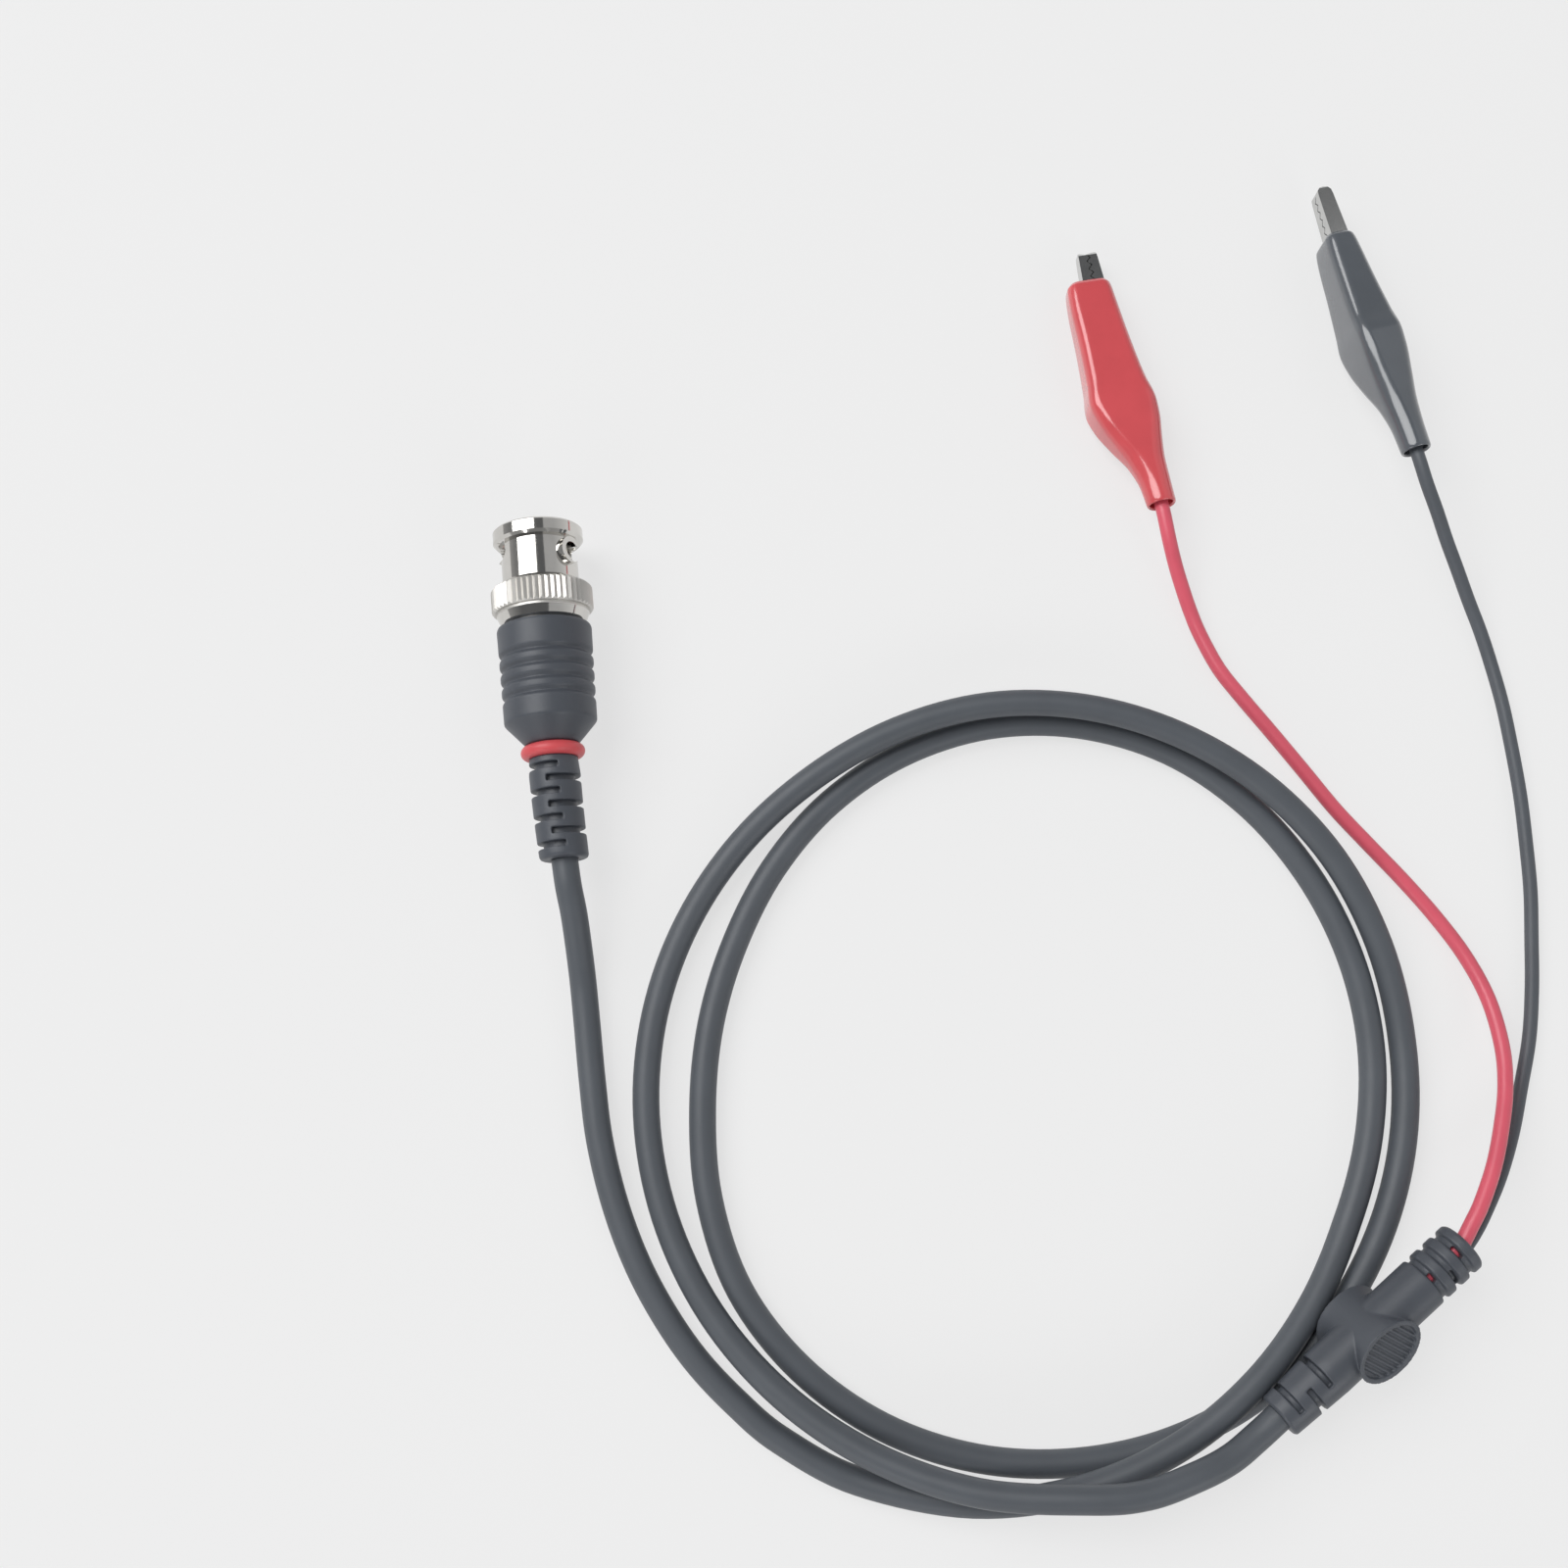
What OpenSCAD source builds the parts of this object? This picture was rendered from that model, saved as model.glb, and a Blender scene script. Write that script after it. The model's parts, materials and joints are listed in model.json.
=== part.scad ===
// BNC plug to two booted crocodile clips, joined by a coiled coaxial cable and a moulded splitter.
// Units are millimetres. +Y is the plug axis towards its mouth, +Z is up, and z = 0 is the table.

/* [Cables] */
// Outside diameter of the coaxial cable
coax_d = 3.75; // [3.5:0.05:3.75]
// Outside diameter of the red lead
red_lead_d = 2.1; // [1.8:0.1:2.1]
// Outside diameter of the black lead
black_lead_d = 1.9; // [1.6:0.1:1.9]

/* [Coupling nut] */
// Diameter of the rim at the mouth
rim_d = 12.9; // [12.5:0.1:13.5]
// Length of the rim
rim_len = 2.2; // [1.8:0.1:2.6]
// Diameter of the plain barrel
barrel_d = 10.9; // [10.8:0.1:11.4]
// Length of the plain barrel with its flare
barrel_len = 6.6; // [6.4:0.1:7.4]
// Diameter over the knurl, which the plug rests on
knurl_d = 14.5; // [14.0:0.1:15.0]
// Length of the knurl
knurl_len = 3.6; // [3.0:0.1:4.4]
// Number of knurl teeth
knurl_teeth = 52; // [36:2:60]
// Diameter at the rear edge of the nut
nut_tail_d = 12.2; // [12.0:0.1:12.8]
// Length of the polished collar behind the knurl
nut_tail_len = 1.9; // [1.5:0.1:2.4]
// Bore that takes the shell of the jack
nut_bore_d = 9.7; // [9.65:0.05:9.8]
// Diameter of the slot that a bayonet lug of the jack runs in
lug_slot_d = 2.3; // [2.1:0.1:2.4]
// Distance that the nut can be pulled forward against its spring
nut_travel = 1; // [0.5:0.1:1.2]

/* [Plug inside] */
// Outside diameter of the outer contact sleeve
sleeve_d = 8.1; // [8.0:0.05:8.1]
// Wall of the outer contact sleeve
sleeve_wall = 0.6; // [0.4:0.05:0.6]
// Width of each spring slot in the outer contact sleeve
sleeve_slot_w = 0.5; // [0.3:0.1:0.8]
// Diameter of the centre pin
pin_d = 1.35; // [1.3:0.01:1.37]
// Distance from the mouth back to the tip of the centre pin
pin_recess = 1.2; // [0.8:0.1:2.0]
// Thickness of the sealing gasket
gasket_t = 0.8; // [0.5:0.1:1.0]
// Diameter of the neck that the nut turns on
neck_d = 9.1; // [8.8:0.1:9.2]
// Thickness of the thrust washer and of the retaining ring
washer_t = 0.6; // [0.4:0.1:0.7]
// Free height of the wave spring
wave_h = 1.6; // [1.5:0.1:1.8]
// Length of the crimp ferrule
ferrule_len = 5.4; // [4.5:0.1:5.6]

/* [Plug boot] */
// Diameter at the front of the boot
boot_front_d = 13.5; // [13.0:0.1:14.0]
// Diameter where the cone of the boot begins
boot_rear_d = 13.1; // [12.6:0.1:13.4]
// Length of the grip, from the cone to the front face
grip_len = 14.1; // [13.6:0.1:15]
// Length of the cone
cone_len = 3.3; // [2.5:0.1:4.5]
// Number of grip grooves
grip_grooves = 4; // [3:1:5]
// Distance between grip grooves
groove_pitch = 2.05; // [1.8:0.05:2.2]
// Diameter of the strain relief at its front
relief_front_d = 7.35; // [7.2:0.05:7.6]
// Diameter of the strain relief at its rear
relief_rear_d = 6.9; // [6.7:0.05:7.2]
// Length of the strain relief
relief_len = 16.3; // [15.9:0.1:18]
// Number of alternating slots in the strain relief
relief_slots = 7; // [5:1:7]
// Distance between alternating slots
relief_pitch = 1.87; // [1.75:0.01:1.9]
// Section diameter of the coloured marker ring
ring_section_d = 1.9; // [1.5:0.1:1.9]
// Outside diameter of the coloured marker ring
ring_d = 9.05; // [8.9:0.05:9.2]

/* [Splitter] */
// Length of the moulded splitter
splitter_len = 33.6; // [33:0.1:36]
// Distance between the faces of its two thumb pads
pad_span = 9; // [8.6:0.1:9]
// Length of a thumb pad
pad_len = 10.2; // [9.8:0.1:10.6]
// Width of a thumb pad
pad_w = 8; // [7.6:0.1:8.2]
// Number of ridges on a thumb pad
pad_ridges = 9; // [7:1:10]
// Diameter of the splitter's necks
neck_end_d = 6.9; // [6.7:0.1:7]
// Diameter of the splitter at the coaxial end
coax_end_d = 6.1; // [6:0.1:6.2]

/* [Clips] */
// Distance from the pivot to the tips of the jaws
jaw_len = 15.5; // [14.5:0.5:16.5]
// Height over both closed jaws at the tip
tip_h = 2.8; // [2.6:0.1:3.0]
// Width of the jaws at the tip
tip_w = 2.3; // [2.1:0.1:2.5]
// Thickness of the sheet metal
sheet_t = 0.4; // [0.3:0.05:0.45]
// Diameter of the pivot rivet
rivet_d = 1.2; // [1.0:0.1:1.3]
// Length of a vinyl boot
boot_len = 36.8; // [36:0.1:38]
// Wall of a vinyl boot
vinyl_t = 0.5; // [0.4:0.05:0.5]
// Length of jaw left bare by the red boot
red_bare = 5.4; // [5:0.1:5.8]
// Length of jaw left bare by the black boot
black_bare = 8.3; // [7.8:0.1:8.7]

/* [Hidden] */
$fn = 48;

running = 0.05;     // radial clearance where a piece turns or slides
snug = 0.02;        // clearance between fixed pieces that touch
overcut = 1;        // how far a cutting shape passes a face

coax_r = coax_d / 2;
red_r = red_lead_d / 2;
black_r = black_lead_d / 2;

// ---- plug stations, measured along the axis from the face that the cable leaves ----
plug_pos = [-61.4, -3.5];           // the middle of that face on the table plan
cone_at = relief_len;
grip_at = cone_at + cone_len;
boot_front_at = grip_at + grip_len;
nut_gap = 0.2;
nut_at = boot_front_at + nut_gap;
knurl_at = nut_at + nut_tail_len;
barrel_at = knurl_at + knurl_len;
rim_at = barrel_at + barrel_len;
mouth_at = rim_at + rim_len;
nut_r = nut_bore_d / 2;
neck_r = neck_d / 2;

rear_wall = 1.5;                    // thickness of the nut's inward rear flange
washer_at = nut_at + rear_wall + snug;
wave_at = washer_at + washer_t;
retainer_at = wave_at + wave_h;
shoulder_at = retainer_at + washer_t;
shoulder_len = 0.6;
gasket_at = shoulder_at + shoulder_len;
chamber_front = gasket_at + 0.4;
chamber_r = neck_r + 1.05;
flange_r = neck_r + 0.85;
flange_t = 1.3;
flange_at = nut_at - snug - flange_t;
sleeve_r = sleeve_d / 2;
sleeve_bore_r = sleeve_r - sleeve_wall;
sleeve_seat_r = sleeve_r - 0.2;     // where the gasket sits on the sleeve
sleeve_recess = 0.6;
insulator_r = sleeve_bore_r - running;
insulator_at = washer_at + 0.7;
insulator_len = 7.8;
pin_r = pin_d / 2;
pin_seat_r = pin_r + 0.22;          // where the insulator holds the pin
pin_collar_r = 1.1;
stem_r = 2.6;
stem_bore_r = 1.65;
stem_len = 6.1;
body_rear_r = 4.4;
body_rear_at = flange_at - 3;
stem_at = body_rear_at - stem_len;
braid_t = 0.37;
ferrule_wall = 0.4;
ferrule_bore_r = stem_r + braid_t + 2 * snug;
ferrule_r = ferrule_bore_r + ferrule_wall;
ferrule_at = body_rear_at - ferrule_len - 0.2;
jacket_end = stem_at - 0.7;
core_r = 1.05;
wire_r = 0.3;
groove_at = grip_at + 3.4;          // first grip groove, counted from the cone
groove_w = 0.8;
groove_depth = 0.45;
slot_w = 0.92;
slot_core_r = 2.45;
first_slot_at = 1.8;
ring_r = ring_section_d / 2;
ring_mean_r = ring_d / 2 - ring_r;
ring_at = cone_at - ring_r;

// ---- splitter ----
splitter_pos = [26.8, -85.9, 8];    // the middle of the coaxial end face
splitter_heading = 34.8;
splitter_roll = 35;                 // turns the visible thumb pad up and outwards
pad_at = 16.1;
neck_end_r = neck_end_d / 2;
coax_end_r = coax_end_d / 2;
coax_neck_len = 9;
splitter_slot_w = 0.85;
lead_groove_w = 1;
red_exit = [0.45, 0.95];            // the two leads leave one above the other
black_exit = [-0.75, -0.85];
splice_chamber_r = 2.4;
splice_chamber = [8.1, 20];
splice_at = 12.5;
splice_len = 4;
splice_r = 0.75;
shrink_t = 0.22;

// ---- clips: the pivot is the origin, +X points to the tip, +Z to the moving jaw ----
red_clip_end = [29.7, 41.2, 4.6];   // where the lead leaves the boot
red_clip_turn = [93.7, 3.5, -90];   // heading, nose-down pitch, roll
black_clip_end = [66.6, 44.5, 8.6];
black_clip_turn = [97.2, 2.4, -177];
neck_offset = -2.68;                // the wire lies in line with the fixed jaw's handle
handle_end = -10.5;
handle_h = 4.15;
handle_root_h = 3;                  // height of a jaw's back 6 mm behind the pivot
handle_w = 4.6;
ear_r = 1.6;
rivet_r = rivet_d / 2;
fixed_ear_half = 1.9;
moving_ear_half = fixed_ear_half - sheet_t - running;
tooth_pitch = 1.3;
tooth_h = 0.6;
tooth_gap = 0.18;
teeth_end = 6.5;
bulge_at = -10.5;
// half height, half width, corner radius and offset of the boot, from its mouth (0) to the bulge (1)
boot_front = [[0, 2.9, 1.9, 1.3, 0.8], [0.03, 3.3, 2.25, 1.5, 0.85], [0.12, 3.5, 2.45, 1.5, 0.85],
    [0.5, 3.9, 2.9, 1.6, 0.55], [0.82, 4.4, 3.25, 1.6, 0.25], [1, 4.95, 3.4, 1.6, 0]];
// the same from the bulge (0) to the cable end (1)
boot_rear = [[0.15, 4.7, 3.35, 1.8, -0.35], [0.38, 3.7, 3, 2, -1.05], [0.6, 2.7, 2.55, 2.2, -1.9],
    [0.8, 2.3, 2.25, 2.2, -2.45], [1, 2.15, 2.15, 2.14, neck_offset]];

// ---- routes: points chosen by hand ----
coax_lead_in = [[-61.4, -3.5, 7.25], [-61.4, -7.3, 7.25], [-61.2, -11, 5.9], [-60.8, -15, 3.8], [-60.4, -20, 2.2],
    [-60.1, -26, 1.9], [-59.9, -34, 1.9], [-59.4, -42, 1.9], [-58, -50.5, 1.9], [-55.7, -58.5, 1.9],
    [-52.6, -65.6, 1.9], [-48.7, -72.2, 1.9], [-43.8, -78.2, 1.9], [-38.2, -83.6, 1.9]];
coil_centre = [0.7, -39.3];
coil_start = 240;
coil_step = 30;
coil_half = coil_step / 2;
// radius and height of the cable at every coil_step degrees of its two turns
coil_lay = [[58.2, 1.9], [53.5, 5.7], [49, 5.6], [47, 1.9], [47.8, 1.9], [49.3, 1.9], [50.9, 1.9], [50.2, 1.9],
    [47.6, 1.9], [45.1, 1.9], [45.6, 1.9], [49.2, 1.9], [50.6, 1.9], [50.8, 1.9], [51.3, 1.9], [51.6, 1.9],
    [52.2, 1.9], [52.9, 4.4], [52.6, 6.3], [52.4, 6.1], [51.6, 4.4], [52.4, 1.9], [53.4, 1.9], [54, 3.2],
    [54, 6.2], [54, 10]];
coax_lead_out = [[8, -93.4, 10.1], [14.4, -92, 9.7], [19.5, -90.4, 8.7], [23.6, -88.1, 8], [26.8, -85.9, 8]];
red_route = [[29.7, 41.2, 4.6], [29.85, 39.1, 4.7], [30.2, 35.5, 4.2], [30.8, 32.1, 3.2], [31.6, 28.7, 2.2],
    [32.5, 25.2, 1.4], [33.5, 21.7, 1.1], [35.4, 16.6, 1.1], [38, 12.1, 1.1], [41.8, 6.1, 1.1], [45.5, 0.1, 1.1],
    [49.1, -5.8, 1.1], [53.1, -11.4, 1.1], [57.1, -16.9, 1.1], [60.8, -22.5, 1.1], [63.8, -28.4, 1.6],
    [65.6, -34.7, 2.6], [65.8, -41.4, 4], [64.7, -46.9, 5.4], [62.7, -52, 6.8], [60.3, -57, 8],
    [57.5, -61.6, 8.8], [55.6, -64.2, 9], [54.1, -66.3, 8.95]];
black_route = [[66.6, 44.5, 8.6], [66.8, 42.5, 8.8], [67.5, 39.2, 8.2], [68.7, 35.5, 7], [70, 31.6, 5.4],
    [71.5, 27.4, 3.8], [72.9, 23, 2.4], [74.2, 18.4, 1.5], [75.1, 13.6, 1], [75.7, 7.6, 1], [75.9, 1.3, 1],
    [75.9, -6, 1], [75.5, -13, 1], [74.9, -20, 1], [73.8, -26.9, 1], [72.6, -33.8, 1], [71, -40.5, 1],
    [68.5, -47, 1.4], [65.7, -53.2, 2.5], [62.3, -58.7, 4.2], [58.6, -63.3, 6], [56.5, -65.6, 6.85],
    [54.8, -67.3, 7.15]];

// ---- shared shapes ----
function unit(v) = v / norm(v);
function tangent(p, i) = unit(p[min(i + 1, len(p) - 1)] - p[max(i - 1, 0)]);
function side_of(t) = unit(cross(t, [0, 0, 1]));

// closed tube of given sides through points, with its end faces turned to first and last where given
module tube(points, r, sides, first = undef, last = undef) {
    n = len(points);
    rings = [for (i = [0 : n - 1])
        let (t = i == 0 && first != undef ? unit(first) : i == n - 1 && last != undef ? unit(last)
                : tangent(points, i),
             s = side_of(t), u = cross(s, t))
        for (k = [0 : sides - 1]) points[i] + r * (cos(k * 360 / sides) * s + sin(k * 360 / sides) * u)];
    walls = [for (i = [0 : n - 2], k = [0 : sides - 1])
        let (a = i * sides + k, b = i * sides + (k + 1) % sides)
        each [[a, b, b + sides], [a, b + sides, a + sides]]];
    front = [for (k = [1 : sides - 2]) [0, k + 1, k]];
    back = [for (k = [1 : sides - 2]) [(n - 1) * sides, (n - 1) * sides + k, (n - 1) * sides + k + 1]];
    polyhedron(rings, concat(front, walls, back), convexity = 10);
}

// straight round rod between two points
module rod(a, b, r) {
    d = b - a;
    translate(a)
        rotate([0, acos(d.z / norm(d)), atan2(d.y, d.x)])
            cylinder(h = norm(d), r = r);
}

// tube with a round bore, standing on z
module pipe(h, r, bore_r) {
    difference() {
        cylinder(h = h, r = r);
        translate([0, 0, -overcut]) cylinder(h = h + 2 * overcut, r = bore_r);
    }
}

module on_plug_axis() {
    translate([plug_pos.x, plug_pos.y, knurl_d / 2])
        rotate([-90, 0, 0])
            children();
}

// ---- coaxial cable ----
function coil_knot(i) = coil_lay[max(0, min(i, len(coil_lay) - 1))];
function between(a, b, c, d) = (9 * (b + c) - a - d) / 16;
function coil_point(k) =
    let (i = floor(k / 2),
         lay = k % 2 == 0 ? coil_knot(i)
             : between(coil_knot(i - 1), coil_knot(i), coil_knot(i + 1), coil_knot(i + 2)),
         a = coil_start + coil_half * k)
    [coil_centre.x + lay[0] * cos(a), coil_centre.y + lay[0] * sin(a), max(lay[1], coax_r)];
coil_points = [for (k = [0 : 2 * (len(coil_lay) - 1)]) coil_point(k)];
coax_points = concat(coax_lead_in, coil_points, coax_lead_out);

// least distance between stretches of the cable that lie a turn apart, less its diameter
function part_way(p, i, f) = p[i] * (1 - f) + p[i + 1] * f;
function least_gap(p, skip, steps) =
    min([for (i = [0 : len(p) - 2], j = [i + skip : 1 : len(p) - 2], f = [0 : steps - 1], g = [0 : steps - 1])
        norm(part_way(p, i, f / steps) - part_way(p, j, g / steps))]) - coax_d;

module coax_cable() {
    echo(coax_rings = len(coax_points), least_gap_of_coil = least_gap(coax_points, 8, 4));
    color("dimgray")
        tube(coax_points, coax_r, 6, first = [0, -1, 0],
             last = [cos(splitter_heading), sin(splitter_heading), 0]);
}

// ---- coupling nut ----
tooth_depth = 0.3;
chamfer = 0.35;
lug_turn = [-25, 32, 36];           // angle of a lug slot at the rim, at the end of its ramp and at its detent
lug_rise = [3.3, 5.1, 4.5];         // its distance behind the mouth at those places
detent_d = 2.4;
detent_ring = 0.75;
boss_r = 6.3;                       // the raised boss round each detent, from the nut's axis

module knurl_band() {
    intersection() {
        translate([0, 0, knurl_at])
            linear_extrude(knurl_len)
                polygon([for (i = [0 : 2 * knurl_teeth - 1])
                    let (r = knurl_d / 2 - (i % 2) * tooth_depth, a = i * 180 / knurl_teeth)
                    [r * cos(a), r * sin(a)]]);
        rotate_extrude()
            polygon([[0, knurl_at - overcut], [knurl_d / 2 - chamfer - overcut, knurl_at - overcut],
                [knurl_d / 2 + chamfer, knurl_at + 2 * chamfer],
                [knurl_d / 2 + chamfer, knurl_at + knurl_len - 2 * chamfer],
                [knurl_d / 2 - chamfer - overcut, knurl_at + knurl_len + overcut],
                [0, knurl_at + knurl_len + overcut]]);
    }
}

module nut_outside() {
    knurl_band();
    rotate_extrude()
        polygon([[0, nut_at], [nut_tail_d / 2 - 0.3, nut_at], [nut_tail_d / 2, nut_at + 0.3],
            [nut_tail_d / 2 + 0.5, knurl_at - 0.4], [nut_tail_d / 2 + 0.5, knurl_at + 0.1], [0, knurl_at + 0.1]]);
    rotate_extrude()
        polygon([[0, barrel_at - 0.1], [barrel_d / 2 + 0.7, barrel_at - 0.1], [barrel_d / 2 + 0.6, barrel_at + 0.3],
            [barrel_d / 2, barrel_at + 0.8], [barrel_d / 2, rim_at + 0.1], [0, rim_at + 0.1]]);
    rotate_extrude()
        polygon([[0, rim_at], [rim_d / 2 - 0.4, rim_at], [rim_d / 2, rim_at + 0.4], [rim_d / 2, mouth_at - 0.3],
            [rim_d / 2 - 0.3, mouth_at], [0, mouth_at]]);
    for (turn = [0, 180])
        rotate([0, 0, turn - lug_turn[2]])
            translate([nut_r - 0.2, 0, mouth_at - lug_rise[2]])
                rotate([0, 90, 0])
                    cylinder(h = boss_r - nut_r + 0.2, d = detent_d + 2 * detent_ring);
}

module nut_inside() {
    translate([0, 0, nut_at - overcut]) cylinder(h = mouth_at - nut_at + 2 * overcut, r = neck_r + running);
    translate([0, 0, nut_at + rear_wall]) cylinder(h = chamber_front - nut_at - rear_wall, r = chamber_r);
    translate([0, 0, chamber_front - snug]) cylinder(h = mouth_at - chamber_front + overcut, r = nut_r);
    translate([0, 0, mouth_at - 0.3]) cylinder(h = 0.3 + snug, r1 = nut_r, r2 = nut_r + 0.3);
}

// the way of one bayonet lug: in through the rim, back along a ramp and forward to the detent
module lug_slot() {
    steps = 9;
    rotate([0, 0, -lug_turn[0]])
        translate([nut_r - 1, -lug_slot_d / 2 + 0.05, mouth_at - lug_rise[0]])
            cube([1.8, lug_slot_d - 0.1, lug_rise[0] + overcut]);
    for (i = [0 : steps])
        let (f = i / steps)
        rotate([0, 0, -lug_turn[0] * (1 - f) - lug_turn[1] * f])
            translate([nut_r - 1, 0, mouth_at - lug_rise[0] * (1 - f) - lug_rise[1] * f])
                rotate([0, 90, 0])
                    cylinder(h = 3, d = lug_slot_d, $fn = 12);
    rotate([0, 0, -lug_turn[2]])
        translate([nut_r - 1, 0, mouth_at - lug_rise[2]])
            rotate([0, 90, 0])
                cylinder(h = 4, d = detent_d);
}

module coupling_nut() {
    color("silver")
        on_plug_axis()
            difference() {
                nut_outside();
                nut_inside();
                lug_slot();
                rotate([0, 0, 180]) lug_slot();
            }
}

// ---- plug inside ----
module contact_sleeve() {
    slot_len = 4.5;
    seat_len = shoulder_len + gasket_t + snug;
    color("silver")
        on_plug_axis()
            difference() {
                union() {
                    translate([0, 0, shoulder_at]) pipe(seat_len, sleeve_seat_r, sleeve_bore_r);
                    translate([0, 0, shoulder_at + seat_len])
                        pipe(mouth_at - sleeve_recess - shoulder_at - seat_len, sleeve_r, sleeve_bore_r);
                }
                for (turn = [0, 90])
                    rotate([0, 0, turn + 45])
                        translate([-sleeve_r - overcut, -sleeve_slot_w / 2, mouth_at - sleeve_recess - slot_len])
                            cube([2 * (sleeve_r + overcut), sleeve_slot_w, slot_len + overcut]);
            }
}

module plug_body() {
    color("silver")
        on_plug_axis()
            difference() {
                rotate_extrude()
                    polygon([[0, stem_at], [stem_r, stem_at], [stem_r, body_rear_at], [body_rear_r, body_rear_at],
                        [body_rear_r, flange_at], [flange_r, flange_at], [flange_r, flange_at + flange_t],
                        [neck_r, flange_at + flange_t], [neck_r, retainer_at], [neck_r - 0.35, retainer_at],
                        [neck_r - 0.35, shoulder_at], [nut_r - 0.07, shoulder_at], [nut_r - 0.07, gasket_at],
                        [0, gasket_at]]);
                translate([0, 0, stem_at - overcut]) cylinder(h = gasket_at - stem_at, r = stem_bore_r);
                translate([0, 0, insulator_at]) cylinder(h = 9, r = insulator_r + snug);
                translate([0, 0, shoulder_at - snug]) cylinder(h = 3, r = sleeve_seat_r + snug);
            }
}

module centre_pin() {
    pin_rear = flange_at - 1.2;
    collar_front = insulator_at + 3.2;
    bare_from = insulator_at + insulator_len + 2 * snug;
    color("gold")
        on_plug_axis()
            difference() {
                union() {
                    translate([0, 0, pin_rear]) cylinder(h = collar_front - pin_rear, r = pin_collar_r);
                    translate([0, 0, pin_rear]) cylinder(h = bare_from - pin_rear, r = pin_seat_r - snug);
                    translate([0, 0, bare_from]) cylinder(h = mouth_at - pin_recess - 0.5 - bare_from, r = pin_r);
                    translate([0, 0, mouth_at - pin_recess - 0.5]) cylinder(h = 0.5, r1 = pin_r, r2 = pin_r - 0.35);
                }
                translate([0, 0, pin_rear - overcut]) cylinder(h = overcut + 2.6, r = wire_r + snug);
            }
}

module plug_insulator() {
    color("white")
        on_plug_axis()
            difference() {
                translate([0, 0, insulator_at + snug]) cylinder(h = insulator_len, r = insulator_r);
                translate([0, 0, insulator_at - overcut]) cylinder(h = insulator_len + 3, r = pin_seat_r);
                translate([0, 0, insulator_at - overcut]) cylinder(h = overcut + 3.2 + snug, r = pin_collar_r + snug);
            }
}

module sealing_gasket() {
    color("darkred")
        on_plug_axis()
            translate([0, 0, gasket_at]) pipe(gasket_t, nut_r - 0.1, sleeve_seat_r + snug);
}

module retaining_ring() {
    gap_w = 2;
    color("silver")
        on_plug_axis()
            difference() {
                translate([0, 0, retainer_at + snug]) pipe(washer_t - 2 * snug, chamber_r - 0.25, neck_r - 0.33);
                translate([neck_r - 1, -gap_w / 2, retainer_at - overcut]) cube([3, gap_w, washer_t + 2 * overcut]);
            }
}

// one turn of flat wire with three waves
module wave_spring() {
    segments = 36;
    wire_t = 0.3;
    amplitude = (wave_h - wire_t) / 2 - snug;
    ring = [neck_r + 0.1, chamber_r - 0.3];
    function wave(i) = wave_at + wave_h / 2 + amplitude * cos(3 * i * 360 / segments);
    points = [for (i = [0 : segments - 1])
        let (a = i * 360 / segments, z = wave(i), t = wire_t / 2)
        each [[ring[0] * cos(a), ring[0] * sin(a), z - t], [ring[1] * cos(a), ring[1] * sin(a), z - t],
            [ring[1] * cos(a), ring[1] * sin(a), z + t], [ring[0] * cos(a), ring[0] * sin(a), z + t]]];
    faces = [for (i = [0 : segments - 1], k = [0 : 3])
        let (a = 4 * i + k, b = 4 * i + (k + 1) % 4, c = 4 * ((i + 1) % segments) + (k + 1) % 4,
             d = 4 * ((i + 1) % segments) + k)
        each [[a, c, b], [a, d, c]]];
    color("gray")
        on_plug_axis()
            polyhedron(points, faces, convexity = 6);
}

module thrust_washer() {
    color("silver")
        on_plug_axis()
            translate([0, 0, washer_at]) pipe(washer_t - snug, chamber_r - 0.1, neck_r + running);
}

module crimp_ferrule() {
    color("silver")
        on_plug_axis()
            translate([0, 0, ferrule_at]) pipe(ferrule_len, ferrule_r, ferrule_bore_r);
}

// the braid leaves the jacket and is drawn over the stem, under the ferrule
module plug_braid() {
    inner = stem_r + snug;
    color("silver")
        on_plug_axis()
            rotate_extrude()
                polygon([[core_r + snug, jacket_end + snug], [coax_r - 0.3, jacket_end + snug],
                    [inner + braid_t, stem_at], [inner + braid_t, body_rear_at - 0.3], [inner, body_rear_at - 0.3],
                    [inner, stem_at - snug], [core_r + snug, jacket_end + 0.3]]);
}

module plug_coax_core() {
    core_end = flange_at - 1.6;
    color("white")
        on_plug_axis() {
            translate([0, 0, jacket_end + snug]) cylinder(h = core_end - jacket_end, r = core_r);
            translate([0, 0, core_end]) cylinder(h = 2.8, r = wire_r);
        }
}

module plug_coax_end() {
    color("dimgray")
        on_plug_axis()
            cylinder(h = jacket_end, r = coax_r);
}

// ---- plug boot ----
function relief_r(at) = (relief_rear_d + (relief_front_d - relief_rear_d) * at / relief_len) / 2;
function grip_r(at) = (boot_rear_d + (boot_front_d - boot_rear_d) * (at - grip_at) / grip_len) / 2;

module relief_slot(at, side) {
    difference() {
        translate([side > 0 ? -0.9 : -relief_front_d, -relief_front_d, at - slot_w / 2])
            cube([relief_front_d + 0.9, 2 * relief_front_d, slot_w]);
        translate([0, 0, at - slot_w]) cylinder(h = 2 * slot_w, r = slot_core_r);
    }
}

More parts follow.
